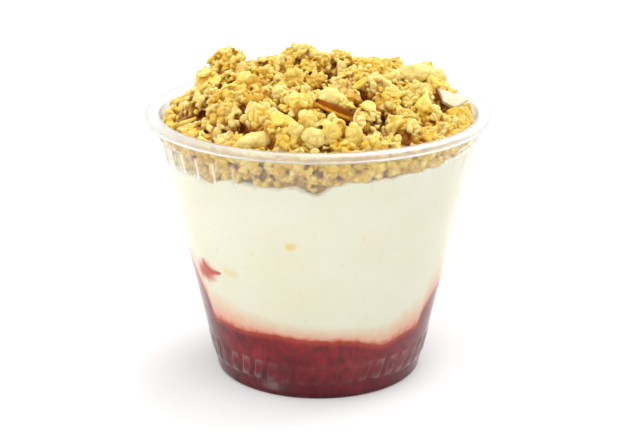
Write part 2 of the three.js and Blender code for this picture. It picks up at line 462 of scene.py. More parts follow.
def add_node(tree: Tree, kind: str, settings: dict, output: int | str = 0) -> Socket:
    """Adds a shader node with its settings and links.

    Args:
        tree: The node tree.
        kind: Blender's type name of the node, without "ShaderNode".
        settings: Its properties by name and its inputs by name or number. A socket is linked to the input;
            "stops" are the places and sRGB hex colours of a colour ramp.
        output: Name or number of the output wanted.

    Returns:
        That output, or nothing where the node has none.
    """
    node = tree.nodes.new("ShaderNode" + kind)
    for name, value in settings.items():
        if name == "stops":
            ramp = node.color_ramp
            while len(ramp.elements) < len(value):
                ramp.elements.new(0.5)
            for element, (position, colour) in zip(ramp.elements, value):
                element.position = position
                element.color = linear(colour)
        elif isinstance(value, Socket):
            tree.links.new(value, node.inputs[name])
        elif isinstance(name, str) and hasattr(node, name):
            setattr(node, name, value)
        else:
            node.inputs[name].default_value = value
    return node.outputs[output] if node.outputs else None


@dataclass(frozen=True)
class Finish:
    """A finish: the name of the real material and making, and the shader drawn for it."""

    name: str

    def shader(self, node: Adder, place: Socket) -> Socket:
        """Draws the shader, whose patterns read the place on the piece; every finish has its own."""
        raise NotImplementedError

    def build(self) -> Material:
        """Makes the material from the finish's shader.

        Returns:
            The material.
        """
        material = bpy.data.materials.new(self.name)
        material.use_nodes = True
        material.node_tree.nodes.clear()
        node = partial(add_node, material.node_tree)
        place = node("TexCoord", {}, "Object")
        node("OutputMaterial", {"Surface": self.shader(node, place)})
        return material


@dataclass(frozen=True)
class ClearSheet(Finish):
    """Clear PET drawn into a warm mould: a bright skin, glass-clear, milky where the lip is rolled."""

    name: str = "PET clear thermoformed"
    ior: float = 1.46
    roughness: float = 0.03
    milky: float = 0.34  # roughness where the field "haze" is 1
    ripple: float = 9.0  # width of the faint waviness that drawing leaves, mm
    ripple_depth: float = 0.02  # its depth, mm

    def shader(self, node: Adder, place: Socket) -> Socket:
        """Draws plastic that refracts but lets the lamps' light straight through to the food.

        Args:
            node: Adds a node.
            place: The place on the piece.

        Returns:
            The shader. It reads the fields "haze", which dulls the skin, and one that whitens it, for the
            milky lip and shoulder and for painted highlights and reflections.
        """
        waves = node("TexNoise", {"Scale": per_metre(self.ripple), "Detail": 1.0, "Vector": place})
        bump = node("Bump", {"Strength": 0.6, "Distance": self.ripple_depth * MM, "Height": waves})
        haze = node("Attribute", {"attribute_name": "haze"}, "Fac")
        rough = node("MapRange", {"To Min": self.roughness, "To Max": self.milky, "Value": haze})
        # Whitening: milky plastic over the lip and shoulder, and painted highlights and reflections on the
        # bars, foot and lip.
        scuff = node("Attribute", {"attribute_name": "scuff"}, "Fac")
        clear = node("Math", {"operation": "SUBTRACT", 0: 1.0, 1: scuff})
        surface = {"Base Color": linear("#fdfefe"), "IOR": self.ior, "Roughness": rough, "Normal": bump}
        plastic = node("BsdfPrincipled", {**surface, "Transmission Weight": clear})
        through = node("BsdfTransparent", {"Color": linear("#f8fafa")})
        shadow = node("LightPath", {}, "Is Shadow Ray")
        return node("MixShader", {0: shadow, 1: plastic, 2: through})


@dataclass(frozen=True)
class CookedStrawberry(Finish):
    """Strawberry compote: boiled fruit in its own syrup, deep wine red, brighter where it thins out."""

    name: str = "Strawberry compote cooked"
    patch: float = 5.0  # width of the paler pieces of fruit, mm
    fibre: float = 1.1  # width of the fine mottling of its edge, mm
    strand: float = 1.5  # width of the strands of pulp, drawn down the wall, mm

    def shader(self, node: Adder, place: Socket) -> Socket:
        """Draws patches of fruit, darker with depth, strands of pulp and a light ragged edge.

        Args:
            node: Adds a node.
            place: The place on the piece.

        Returns:
            The shader. It reads the field "below": the depth under the yogurt's edge, in mm.
        """
        below = node("Attribute", {"attribute_name": "below"}, "Fac")
        patches = {"Scale": per_metre(self.patch), "Detail": 6.0, "Roughness": 0.7, "Vector": place}
        stops = [(0.32, "#6c0815"), (0.48, "#8f1020"), (0.68, "#ad1f2c")]
        flesh = node("ValToRGB", {"stops": stops, "Fac": node("TexNoise", patches)})
        deep = node("MapRange", {"From Min": 5.0, "From Max": 18.0, "To Max": 0.85, "Value": below})
        body = node("Mix", {**BLEND, 0: deep, 6: flesh, 7: linear("#6a1421")}, 2)
        drawn = node("Mapping", {"Scale": (1.0, 1.0, 0.4), "Vector": place})
        strands = {"Scale": per_metre(self.strand), "Detail": 3.0, "Roughness": 0.6, "Vector": drawn}
        mottle = node("Math", {"operation": "MULTIPLY_ADD", 0: node("TexNoise", strands), 1: 1.7, 2: 0.16})
        pulp = node("Mix", {**SHADE, 6: body, 7: mottle}, 2)
        fine = node("TexNoise", {"Scale": per_metre(self.fibre), "Detail": 2.0, "Vector": place})
        ragged = node("Math", {"operation": "MULTIPLY_ADD", 0: fine, 1: 1.6, 2: -0.8})
        depth = node("Math", {"operation": "ADD", 0: below, 1: ragged})
        thin = node("MapRange", {"From Max": 1.9, "To Min": 1.0, "To Max": 0.0, "Value": depth})
        edge = node("Mix", {**BLEND, 0: thin, 6: pulp, 7: linear("#cf4a36")}, 2)
        skin = {"Base Color": edge, "Roughness": 0.5, "IOR": 1.4, "Specular IOR Level": 0.05}
        return node("BsdfPrincipled", {**skin, **lit_within(0.25, (1.0, 0.25, 0.2), 1.2)})


@dataclass(frozen=True)
class SetYogurt(Finish):
    """Plain set yogurt: dense, creamy white, softly lit from within, blushed where it met the fruit."""

    name: str = "Yogurt set plain"
    cloud: float = 14.0  # width of the faint changes of tone, mm
    wisp: float = 1.8  # width of the ragged streaks in the blush, mm
    stains: tuple = (("streak", "#f7ebc2"), ("fleck", "#f8e3a4"), ("dab", "#d4480c"))  # field and colour

    def shader(self, node: Adder, place: Socket) -> Socket:
        """Draws cream with the blush and the stains.

        Args:
            node: Adds a node.
            place: The place on the piece.

        Returns:
            The shader. It reads the field "above", mm over the compote, and the stains' own fields.
        """
        tone = node("TexNoise", {"Scale": per_metre(self.cloud), "Detail": 2.0, "Vector": place})
        cream = node("ValToRGB", {"stops": [(0.3, "#faf4dd"), (0.7, "#fdf8e6")], "Fac": tone})
        wisps = node("TexNoise", {"Scale": per_metre(self.wisp), "Detail": 3.0, "Vector": place})
        above = node("Attribute", {"attribute_name": "above"}, "Fac")
        raised = node("Math", {"operation": "MULTIPLY_ADD", 0: wisps, 1: -2.4, 2: above})
        share = node("MapRange", {"From Min": -1.2, "From Max": 5.5, "Value": raised})
        stops = [(0.0, "#e8745a"), (0.1, "#f6ab98"), (0.24, "#fbd2c6"), (0.55, "#fdeae2"), (1.0, "#ffffff")]
        blush = node("ValToRGB", {"stops": stops, "Fac": share})
        colour = node("Mix", {**SHADE, 6: cream, 7: blush}, 2)
        for name, stain in self.stains:
            mark = node("Attribute", {"attribute_name": name}, "Fac")
            ragged = node("Math", {"operation": "MULTIPLY_ADD", 0: wisps, 1: 0.7, 2: mark})
            soft = {"interpolation_type": "SMOOTHSTEP", "From Min": 0.4, "From Max": 1.2, "Value": ragged}
            share = node("MapRange", soft)
            colour = node("Mix", {**BLEND, 0: share, 6: colour, 7: linear(stain)}, 2)
        skin = {"Base Color": colour, "Roughness": 0.5, "IOR": 1.36, "Specular IOR Level": 0.1}
        return node("BsdfPrincipled", {**skin, **lit_within(0.6, (1.0, 0.8, 0.55), 1.6)})


@dataclass(frozen=True)
class BakedOats(Finish):
    """Granola baked in honey: golden, waxy glaze, paler on raised tops and edges by a painted highlight, and
    browner in the hollows by toasting and painted shade.
    """

    name: str = "Granola baked honey glaze"
    pale: str = "#fdea98"
    golden: str = "#f1ca3e"
    brown: str = "#d3961a"
    # colour of the hollows: toasted brown together with painted shade
    hollow: str = "#9a5400"
    highlight_strength: float = 0.55  # how pale the painted highlight makes the raised tops and edges
    blotch: float = 2.6  # width of uneven browning, mm
    grain: float = 0.55  # width of the bran and sugar grains, mm: drawn as coarse as shows
    grain_depth: float = 0.08  # their height, mm

    def shader(self, node: Adder, place: Socket) -> Socket:
        """Draws the browned crust with its speckle of bran, a painted highlight on raised parts and painted
        shade in the hollows.

        Args:
            node: Adds a node.
            place: The place on the piece.

        Returns:
            The shader. It reads "toast" (browning), "hollow" (how deep in a cleft, drawn as browning and
            painted shade) and "raised" (drawn as a painted highlight), 0 to 1.
        """
        toast = node("Attribute", {"attribute_name": "toast"}, "Fac")
        hollow = node("Attribute", {"attribute_name": "hollow"}, "Fac")
        raised = node("Attribute", {"attribute_name": "raised"}, "Fac")
        patches = {"Scale": per_metre(self.blotch), "Detail": 3.0, "Roughness": 0.6, "Vector": place}
        blotches = node("TexNoise", patches)
        grains = node("TexNoise", {"Scale": per_metre(self.grain), "Detail": 2.0, "Vector": place})
        browning = node("Mix", {"data_type": "FLOAT", 0: 0.45, 2: toast, 3: blotches})
        stops = [(0.2, self.pale), (0.48, self.golden), (0.75, self.brown)]
        crust = node("ValToRGB", {"stops": stops, "Fac": browning})
        # Painted highlight: the raised tops and edges are paled.
        highlight_share = node("MapRange", {"To Max": self.highlight_strength, "Value": raised})
        edges = node("Mix", {**BLEND, 0: highlight_share, 6: crust, 7: linear(self.pale)}, 2)
        # Painted shade, with browning: the hollows are darkened.
        deep = node("Mix", {**BLEND, 0: hollow, 6: edges, 7: linear(self.hollow)}, 2)
        tones = {"From Min": 0.3, "From Max": 0.7, "To Min": 0.88, "To Max": 1.06, "Value": grains}
        speckle = node("MapRange", tones)
        speckled = node("Mix", {**SHADE, 6: deep, 7: speckle}, 2)
        bump = node("Bump", {"Strength": 0.5, "Distance": self.grain_depth * MM, "Height": grains})
        skin = {"Base Color": speckled, "Normal": bump, "Roughness": 0.5, "IOR": 1.42}
        skin |= {"Specular IOR Level": 0.3, "Coat Weight": 0.03, "Coat Roughness": 0.25}
        return node("BsdfPrincipled", {**skin, **lit_within(0.35, (1.0, 0.55, 0.14), 0.9)})


@dataclass(frozen=True)
class Almond(Finish):
    """Cut almond: smooth ivory flesh, and a wrinkled brown skin where the field "skin" is 1."""

    flesh: str
    rim: str
    skin: str
    dark: str = "#33150a"
    gloss: float = 0.5
    grain: float = 0.8  # width of the wrinkles and the flesh's mottling, mm

    def shader(self, node: Adder, place: Socket) -> Socket:
        """Draws mottled flesh and a wrinkled skin that darkens with roasting.

        Args:
            node: Adds a node.
            place: The place on the piece.

        Returns:
            The shader. It reads the fields "skin" and "char", the share of dark roasting.
        """
        skin = node("Attribute", {"attribute_name": "skin"}, "Fac")
        char = node("Attribute", {"attribute_name": "char"}, "Fac")
        grain = node("TexNoise", {"Scale": per_metre(self.grain), "Detail": 3.0, "Vector": place})
        flesh = node("ValToRGB", {"stops": [(0.3, self.rim), (0.55, self.flesh)], "Fac": grain})
        brown = node("Mix", {**BLEND, 0: char, 6: linear(self.skin), 7: linear(self.dark)}, 2)
        colour = node("Mix", {**BLEND, 0: skin, 6: flesh, 7: brown}, 2)
        bump = node("Bump", {"Strength": 0.3, "Distance": 0.1 * MM, "Height": grain})
        cut = {"Base Color": colour, "Normal": bump, "Roughness": 0.45, "IOR": 1.45}
        cut |= {"Specular IOR Level": self.gloss, **lit_within(0.2, (1.0, 0.8, 0.5), 0.8)}
        return node("BsdfPrincipled", cut)


@dataclass(frozen=True)
class PaperSweep(Finish):
    """White studio paper: matt and even."""

    name: str = "Paper sweep white"
    tooth: float = 1.5  # width of the paper's faint tooth, mm

    def shader(self, node: Adder, place: Socket) -> Socket:
        """Draws matt white with the paper's faint tooth in its tone.

        Args:
            node: Adds a node.
            place: The place on the piece.

        Returns:
            The shader.
        """
        tooth = node("TexNoise", {"Scale": per_metre(self.tooth), "Vector": place})
        tone = node("ValToRGB", {"stops": [(0.0, "#f4f4f4"), (1.0, "#f8f8f8")], "Fac": tooth})
        return node("BsdfDiffuse", {"Roughness": 0.5, "Color": tone})


# ---- the cup ----


@dataclass(frozen=True)
class Ribs:
    """A band of upright bars pressed into the wall. Millimetres."""

    low: float  # height where the bars are full
    high: float  # height up to which they are full
    proud: float  # how far they stand out
    lean: float  # degrees that they turn for each millimetre of height
    edge: float  # cosine at which a bar's edge starts and ends: the lower, the steeper
    scuff: float  # how white the painted highlight lines over its edges are, 0 to 1
    highlight_width: float  # how wide those painted highlight lines are, in the cosine that draws the bars
    highlight_places: tuple  # where round the cup the painted highlight lines are strongest: degrees, and half-width as a sine
    hollow: bool  # whether the sheet's inside follows the bars, or the bars are solid


@dataclass
class CupWall:
    """The shape of the cup's wall, which its sheet and everything inside it follow. Millimetres."""

    foot_outside: float = 28.35  # the plain wall carried down to the table
    foot_inner: float = 24.4  # of the flat ring that the cup stands on
    foot_outer: float = 27.6
    base_rise: float = 1.5  # how far the middle of the base is raised
    taper: float = 0.217
    sheet: float = 0.45
    shoulder: tuple = (57.5, 61.3)
    shoulder_proud: float = 0.3
    ledge: float = 67.9
    foot_step: float = 0.2  # how far the wall steps out where the lower bars start
    rib_count: int = 45
    rib_fade: float = 0.25
    end_highlight: float = 0.2  # half-width of the painted highlight line over the ends of a bar
    highlight_all_round: float = 0.1  # how much of the painted highlight shows away from the places where it is strongest
    foot_reflection: tuple = (-25.0, 3.1, 5.0, 1.3, 0.12)  # a painted reflection on the foot, a pale patch: degrees, mm, half-sizes, strength
    lower: Ribs = Ribs(5.2, 10.6, 0.12, 0.45, 0.3, 0.16, 0.09, ((-40, 0.14), (44, 0.17), (165, 0.3)), False)
    upper: Ribs = Ribs(61.9, 67.2, 0.13, 0.0, 0.6, 0.6, 0.35, ((-50, 0.16), (130, 0.25)), True)
    reach: float = 0.2  # how far what fills the cup reaches into the wall

    @property
    def raised(self) -> float:
        """Reach of the raised middle of the base."""
        return self.foot_inner - self.base_rise

    def plain(self, z: Array) -> Array:
        """The outside without ribs: a straight taper, and a step out where cups stack.

        Args:
            z: Heights.

        Returns:
            Its distance from the axis there.
        """
        step = smooth(*self.shoulder, z)
        foot = 1 - smooth(self.lower.low - 0.7, self.lower.low - 0.3, z)
        return self.foot_outside + self.taper * z + self.shoulder_proud * step - self.foot_step * foot

    def lean(self, z: Array) -> Array:
        """How far the bars have turned; between the bands it eases away.

        Args:
            z: Heights.

        Returns:
            The turn there, in radians.
        """
        band = self.lower
        reach = np.clip(z, band.low, band.high) - (band.low + band.high) / 2
        return np.radians(band.lean * reach) * (1 - smooth(band.high, self.shoulder[0], z))

    def painted_highlights(self, theta: Array, z: Array) -> Array:
        """Where the sheet is painted white as highlights: lines over the bars' edges, and a painted
        reflection on the foot.

        Args:
            theta: Angles of the places, in radians.
            z: Their heights.

        Returns:
            How white each place is: a painted highlight line, a narrow bell, over each bar's upright edges,
                and over the
            ends of the solid ones, within its band; and the painted reflection on the foot.
        """
        total = np.zeros(np.broadcast(theta, z).shape)
        phase = self.rib_count * (theta - self.lean(z))
        bar = np.cos(phase)
        # Painted highlight lines along the bars' edges, strongest at the listed places round the cup.
        for band in (self.lower, self.upper):
            edge = bell(bar, band.highlight_width)
            if band.hollow:
                edge = edge * smooth(-0.2, 0.2, np.sin(phase))
            else:
                ends = bell(z - band.low, self.end_highlight) + bell(z - band.high, self.end_highlight)
                edge = np.maximum(edge, 0.6 * ends * smooth(-0.2, 0.2, bar))
            within = smooth(band.low - 0.3, band.low, z) * (1 - smooth(band.high, band.high + 0.3, z))
            highlight_share = sum(bell(np.sin((theta - np.radians(at)) / 2), half) for at, half in band.highlight_places)
            total = total + band.scuff * edge * within * (self.highlight_all_round + highlight_share)
        # A painted reflection: a pale patch on the foot.
        at, height, wide, tall, strength = self.foot_reflection
        return total + strength * bell(np.degrees(wrapped(theta)) - at, wide) * bell(z - height, tall)

    def columns(self, phases: Array) -> Array:
        """Angles of the columns: the same shares of every bar's period, close together at its edges."""
        return ((np.arange(self.rib_count)[:, None] + phases) * math.tau / self.rib_count).ravel()

    def bars(self, band: Ribs, theta: Array, z: Array) -> Array:
        """How far a band's bars stand out: a cosine round the cup cut to a flat top, faded at both ends.

        Args:
            band: The band.
            theta: Angles of the places.
            z: Their heights.

        Returns:
            How far the wall stands out there.
        """
        bar = smooth(-band.edge, band.edge, np.cos(self.rib_count * (theta - self.lean(z))))
        rise = smooth(band.low - self.rib_fade, band.low, z)
        fall = 1 - smooth(band.high, band.high + self.rib_fade, z)
        return band.proud * bar * rise * fall

    def outside(self, theta: Array, z: Array) -> Array:
        """The outside of the wall at an angle and a height."""
        return self.plain(z) + self.bars(self.lower, theta, z) + self.bars(self.upper, theta, z)

    def inside(self, theta: Array, z: Array) -> Array:
        """The inside of the sheet, which follows only hollow bars."""
        hollow = [self.bars(band, theta, z) for band in (self.lower, self.upper) if band.hollow]
        return self.plain(z) - self.sheet + sum(hollow)

    def fill(self, theta: Array, z: Array) -> Array:
        """How far the contents reach: the inside of the sheet and a little into it."""
        return self.inside(theta, z) + self.reach


@dataclass
class Cup:
    """The clear cup: one drawn sheet with a foot, two bands of bars, a shoulder and a rolled lip."""

    wall: CupWall
    rim_radius: float
    rim_height: float
    curl: tuple = (2.05, 1.4)  # outside half-widths of the rolled lip's section, across and up
    curl_end: float = -60.0
    curl_steps: int = 13
    neck_height: float = 68.3  # where the wall turns up from the ledge into the lip
    foot_round: float = 1.5
    hazy: tuple = (68.0, 70.5)  # heights between which the stretched lip turns milky
    lip_haze: float = 0.6
    lip_milk_and_highlight: float = 0.035  # how white the top of the lip is: milky plastic, and a painted highlight where the light falls on it
    # heights of the lip's top that is whitened: milky, and with a painted highlight
    lip_top_band: tuple = (70.4, 72.4)
    wall_haze: float = 0.15
    wall_bloom: float = 0.02  # how white the wall is over its shoulder
    steps: tuple = (0.08, 0.045, 0.02, 0.0)  # shares of a bar's period between columns and a bar's edge

    def roll(self, inset: float, start: float, end: float) -> Array:
        """The lip's section: an oval some way inside its outside.

        Args:
            inset: How far inside.
            start: Where on the oval it starts, in degrees.
            end: Where it ends.

        Returns:
            Its points, as (radius, height) rows.
        """
        angle = np.radians(np.linspace(start, end, self.curl_steps))
        across, up = self.curl
        radius = self.rim_radius - across + (across - inset) * np.cos(angle)
        return np.stack([radius, self.rim_height - up + (up - inset) * np.sin(angle)], axis=-1)

    def heights(self) -> Array:
        """Heights of the wall's rows.

        Returns:
            Heights, close together where ribs start and stop, wide apart elsewhere.
        """
        wall, lower, upper = self.wall, self.wall.lower, self.wall.upper
        fade = wall.rib_fade
        ends = fade * (np.arange(4) / 3 - 1)
        rows = [np.arange(self.foot_round, lower.low - 2 * fade, 0.6)]
        for band in (lower, upper):
            rows += [band.low + ends, np.arange(band.low + 1.7, band.high - 0.5, 1.7), band.high - ends[::-1]]
            if band is lower:
                rows.append(np.arange(band.high + 1.2, wall.shoulder[0] - 1, 5.0))
                rows.append(np.arange(wall.shoulder[0], upper.low - fade - 0.1, 0.5))
        return np.concatenate([*rows, [wall.ledge]])

    def section(self) -> tuple:
        """The sheet's section from the axis under the base, up the outside, round the lip and back inside.

        Returns:
            Radius and height at each row, and the numbers of the rows of the wall's outside and inside.
        """
        wall = self.wall
        z = self.heights()
        t = wall.sheet
        neck = self.rim_radius - 2 * self.curl[0]
        turn = np.linspace(0, math.pi / 2, 5)[:-1]
        across = wall.plain(self.foot_round) - wall.foot_outer
        corner = [wall.foot_outer + across * np.sin(turn), self.foot_round * (1 - np.cos(turn))]
        middle = wall.raised * 0.6
        under = [[0, wall.base_rise], [middle, wall.base_rise], [wall.raised, wall.base_rise]]
        under += [[wall.raised + 0.75, 0.8], [wall.foot_inner, 0.08], [wall.foot_inner + 0.5, 0]]
        over = [[wall.foot_outer - 0.1, t + 0.2], [wall.foot_outer - 0.8, t], [wall.foot_inner + 0.4, t]]
        over += [[wall.raised + 0.9, 0.8 + t], [wall.raised, wall.base_rise + t]]
        over += [[middle, wall.base_rise + t], [0, wall.base_rise + t]]
        parts = [
            under,
            np.stack(corner, axis=-1),
            np.stack([wall.plain(z), z], axis=-1),
            [[neck + t, self.neck_height]],
            self.roll(t, 180, self.curl_end),
            self.roll(0, self.curl_end, 180),
            [[neck, self.neck_height]],
            np.stack([wall.plain(z) - t, z], axis=-1)[::-1],
            over,
        ]
        starts = np.cumsum([0] + [len(part) for part in parts])
        rows = np.concatenate([np.asarray(part, float) for part in parts])
        return rows[:, :1], rows[:, 1:], np.arange(*starts[2:4]), np.arange(*starts[7:9])

    def build(self, finish: ClearSheet) -> None:
        """Builds the cup: the section turned about the axis, with the bars added row by row.

        Args:
            finish: The sheet's finish.
        """
        wall = self.wall
        radius, height, out_rows, in_rows = self.section()
        edges = np.concatenate([0.25 - np.array(self.steps), 0.25 + np.array(self.steps[-2::-1])])
        theta = wall.columns(np.concatenate([[0], edges, [0.5], edges + 0.5])) + wall.lean(height)
        reach = radius * np.ones_like(theta)
        reach[out_rows] = wall.outside(theta[out_rows], height[out_rows])
        reach[in_rows] = wall.inside(theta[in_rows], height[in_rows])
        skin = turned(reach, height * np.ones_like(reach), theta)
        haze = self.lip_haze * smooth(*self.hazy, height) + self.wall_haze * smooth(*wall.shoulder, height)
        skin.fields["haze"] = over_grid(haze * np.ones_like(reach))
        # Painted highlights on the bars and a painted reflection on the foot, a painted highlight with
        # milkiness on the lip's top, and the shoulder's milky whitening.
        painted_highlights = np.zeros_like(reach)
        painted_highlights[out_rows] = wall.painted_highlights(theta[out_rows], height[out_rows])
        painted_highlights += self.lip_milk_and_highlight * smooth(*self.lip_top_band, height)
        painted_highlights += self.wall_bloom * smooth(*wall.shoulder, height)
        skin.fields["scuff"] = over_grid(painted_highlights)
        finished(mesh_of("clear_cup", skin), finish.build(), "clear_cup", "cup")


# ---- compote and yogurt ----


@dataclass(frozen=True)
class Climb:
    """Where the yogurt has pushed the compote up the wall: from start to full, and down to end, degrees."""

    start: float
    full: float
    end: float
    rise: float
    foot: float = 5.0  # degrees over which its foot is rounded

    def lift(self, angle: Array) -> Array:
        """How far it lifts the line: 1 less the cube of the share left to its top, which rounds it over.

        Args:
            angle: Angles in degrees.

        Returns:
            The lift there.
        """
        side = math.copysign(1, self.start)
        left = np.clip((self.full - angle) / (self.full - self.start), 0, 1)
        up = (1 - left**3) * smooth(side * self.start, side * self.start + self.foot, side * angle)
        return self.rise * up * (1 - smooth(side * self.full, side * self.end, side * angle))


@dataclass(frozen=True)
class Uneven:
    """How a level waves along the wall. Millimetres."""

    swells: tuple  # broad swells and dips: degrees, width in degrees, and height
    radius: float  # reach of the circle along which the finer bumps are read
    bumps: tuple  # finer random bumps: height, width and seed

    def added(self, line: Array, theta: Array) -> Array:
        """Adds the swells, as bells, and the bumps, as noise that meets itself all round.

        Args:
            line: The level at each angle.
            theta: The angles.

        Returns:
            The uneven level.
        """
        for at, width, height in self.swells:
            line = line + height * bell(np.degrees(wrapped(theta)) - at, width)
        circle = on_circle(theta, self.radius, 0 * theta)
        for height, width, seed in self.bumps:
            line = line + height * noise(circle, width, seed)
        return line


@dataclass(frozen=True)
class Stroke:
    """A mark on the inside of the wall: a tapered line from one place to another."""

    start: tuple  # angle in degrees and height in millimetres
    end: tuple  # the same for its other end
    widths: tuple  # half-width at both ends, in millimetres

    def over(self, radius: Array, theta: Array, z: Array) -> Array:
        """How much of the stroke lies over each place on the wall.

        Args:
            radius: Reach of the wall at the places.
            theta: Angles of the places.
            z: Heights of the places.

        Returns:
            1 on the stroke's line, 0.5 at its half-width and 0 at twice that: the wall is unrolled, the
            nearest point of the line found, and the distance to it divided by the width there.
        """
        across = wrapped(theta) * radius
        (a0, z0), (a1, z1) = self.start, self.end
        x0, x1 = math.radians(a0) * radius, math.radians(a1) * radius
        dx, dz = x1 - x0, z1 - z0
        along = np.clip(((across - x0) * dx + (z - z0) * dz) / (dx * dx + dz * dz), 0, 1)
        gap = np.hypot(across - x0 - along * dx, z - z0 - along * dz)
        width = self.widths[0] + (self.widths[1] - self.widths[0]) * along
        return np.clip(1 - gap / (2 * width), 0, 1)


@dataclass
class Layers:
    """The two levels in the cup: compote under yogurt, and yogurt under granola. Millimetres."""

    wall: CupWall
    fruit_middle: float = 15.0
    fruit_edge: float = 17.7
    fruit_back: float = 4.0  # how much higher it stands at the back
    fruit_ripple: float = 0.5  # two waves round the cup
    fruit_bend: float = 5.0
    climbs: tuple = (Climb(-57, -100, -160, 21), Climb(53.5, 92, 155, 11.5))
    fruit_uneven: Uneven = Uneven(
        ((-22, 20, 1.0), (-54, 12, 0.9), (33, 11, -2.6), (-6, 9, -0.35)), 33, ((0.45, 5.5, 3), (0.22, 1.9, 4))
    )
    yogurt_middle: float = 65.0
    yogurt_edge: float = 63.8
    yogurt_tilt: float = 2.3
    yogurt_ripple: float = 0.4  # seven waves round the cup
    yogurt_bend: float = 3.0
    yogurt_uneven: Uneven = Uneven(
        ((0, 6, -2.6), (-43, 7, -1.0), (118, 12, -2.0), (-152, 10, -2.2)), 41, ((0.5, 3.2, 5), (0.25, 1.4, 6))
    )
    dish: tuple = (0.97, 0.9, 0.78, 0.6, 0.35, 0.0)  # shares of the radius at the rows of a level
    columns: int = 540
    wall_rows: int = 96

    def fruit_line(self, theta: Array) -> Array:
        """The compote's level on the wall: a low ripple, higher at the back and where it climbs.

        Args:
            theta: Angles.

        Returns:
            Its height at each.
        """
        angle = np.degrees(wrapped(theta))
        line = self.fruit_edge + self.fruit_back * smooth(90, 180, np.abs(angle))
        line = line + self.fruit_ripple * np.cos(2 * theta + 1)
        for climb in self.climbs:
            line = line + climb.lift(angle)
        return self.fruit_uneven.added(line, theta)

    def yogurt_line(self, theta: Array) -> Array:
        """The yogurt's level on the wall: tilted, rippled, and dipped where clusters have sunk in."""
        line = self.yogurt_edge + self.yogurt_tilt * np.sin(theta) + self.yogurt_ripple * np.sin(7 * theta)
        return self.yogurt_uneven.added(line, theta)

    def inward(self, line: Array, middle: float, bend: float, theta: Array) -> tuple:
        """A level's radius and height from the wall in: middle + (line - middle) times share to the bend."""
        shares = np.array(self.dish)[:, None]
        return shares * self.wall.fill(theta, line), middle + (line - middle) * shares**bend

    def fruit_top(self, theta: Array) -> tuple:
        """Radius and height of the dish that the yogurt has pressed into the compote."""
        return self.inward(self.fruit_line(theta), self.fruit_middle, self.fruit_bend, theta)

    def yogurt_top(self, theta: Array) -> tuple:
        """Radius and height of the yogurt's top."""
        return self.inward(self.yogurt_line(theta), self.yogurt_middle, self.yogurt_bend, theta)

    def up_wall(self, low: Array, high: Array) -> Array:
        """Heights of the rows that climb the wall between two levels."""
        return low + np.linspace(0, 1, self.wall_rows)[:, None] * (high - low)


@dataclass
class Compote:
    """The strawberry compote: from the floor of the cup to the dish that the yogurt has pressed in it."""

    layers: Layers
    lift: float = 0.15  # its floor over the cup's underside
    corner: float = 1.5  # height at which its side meets the wall

    def build(self, finish: CookedStrawberry) -> None:
        """Builds the layer: floor and wall follow the sheet, and the top runs in from the fruit line.

        Args:
            finish: The compote's finish.
        """
        layers = self.layers
        wall = layers.wall
        theta = all_round(layers.columns)
        floor = [(0, wall.base_rise), (wall.raised, wall.base_rise), (wall.foot_inner + 0.4, 0.0)]
        floor += [(wall.foot_outer - 0.8, 0.0), (wall.foot_outer - 0.1, 0.25)]
        floor_radius, floor_height = (np.array(row)[:, None] * np.ones_like(theta) for row in zip(*floor))
        line = layers.fruit_line(theta)
        z = layers.up_wall(self.corner, line)
        top_radius, top = layers.fruit_top(theta)
        height = np.concatenate([floor_height + self.lift, z, top])
        skin = turned(np.concatenate([floor_radius, wall.fill(theta, z), top_radius]), height, theta)
        skin.fields["below"] = over_grid(line - height)
        finished(mesh_of("compote", skin), finish.build(), "strawberry_compote", "fruit_layer")


@dataclass
class Yogurt:
    """The yogurt between compote and granola, with a dab of fruit smeared against the wall."""

    layers: Layers
    dabs: tuple = (
        Stroke((-57.4, 36.3), (-56.8, 34.4), (0.6, 1.8)),
        Stroke((-60.5, 32.9), (-55.5, 33.4), (1.8, 2.3)),
        Stroke((-54.5, 33.7), (-50.0, 34.0), (1.9, 0.8)),
        Stroke((-50.0, 34.0), (-46.0, 34.6), (0.8, 0.3)),
    )
    streaks: tuple = (Stroke((-42.0, 35.8), (-36.5, 35.6), (0.9, 0.8)),)
    flecks: tuple = (Stroke((-11.6, 46.4), (-9.8, 46.5), (0.8, 0.8)),)
    blush: tuple = (0.7, 0.8)  # how far the blush spreads at the front, and how much further at the sides

    def build(self, finish: SetYogurt) -> None:
        """Builds the layer: it starts on the compote's dish, climbs the wall and closes over the top.

        Args:
            finish: The yogurt's finish.
        """
        layers = self.layers
        theta = all_round(layers.columns)
        low, high = layers.fruit_line(theta), layers.yogurt_line(theta)
        under_radius, under = layers.fruit_top(theta)
        over_radius, over = layers.yogurt_top(theta)
        z = layers.up_wall(low, high)
        radius = np.concatenate([under_radius[::-1], layers.wall.fill(theta, z), over_radius])
        height = np.concatenate([under[::-1], z, over])
        skin = turned(radius, height, theta)
        front, more = self.blush
        spread = front + more * smooth(15, 55, np.abs(np.degrees(wrapped(theta))))
        skin.fields["above"] = over_grid((height - low) / spread)
        reach = layers.wall.plain(height)
        for name, strokes in (("dab", self.dabs), ("streak", self.streaks), ("fleck", self.flecks)):
            marks = [stroke.over(reach, theta, height) for stroke in strokes]
            skin.fields[name] = over_grid(np.max(marks, axis=0))
        finished(mesh_of("yogurt_fill", skin), finish.build(), "yogurt", "yogurt")


# ---- the two nuts ----


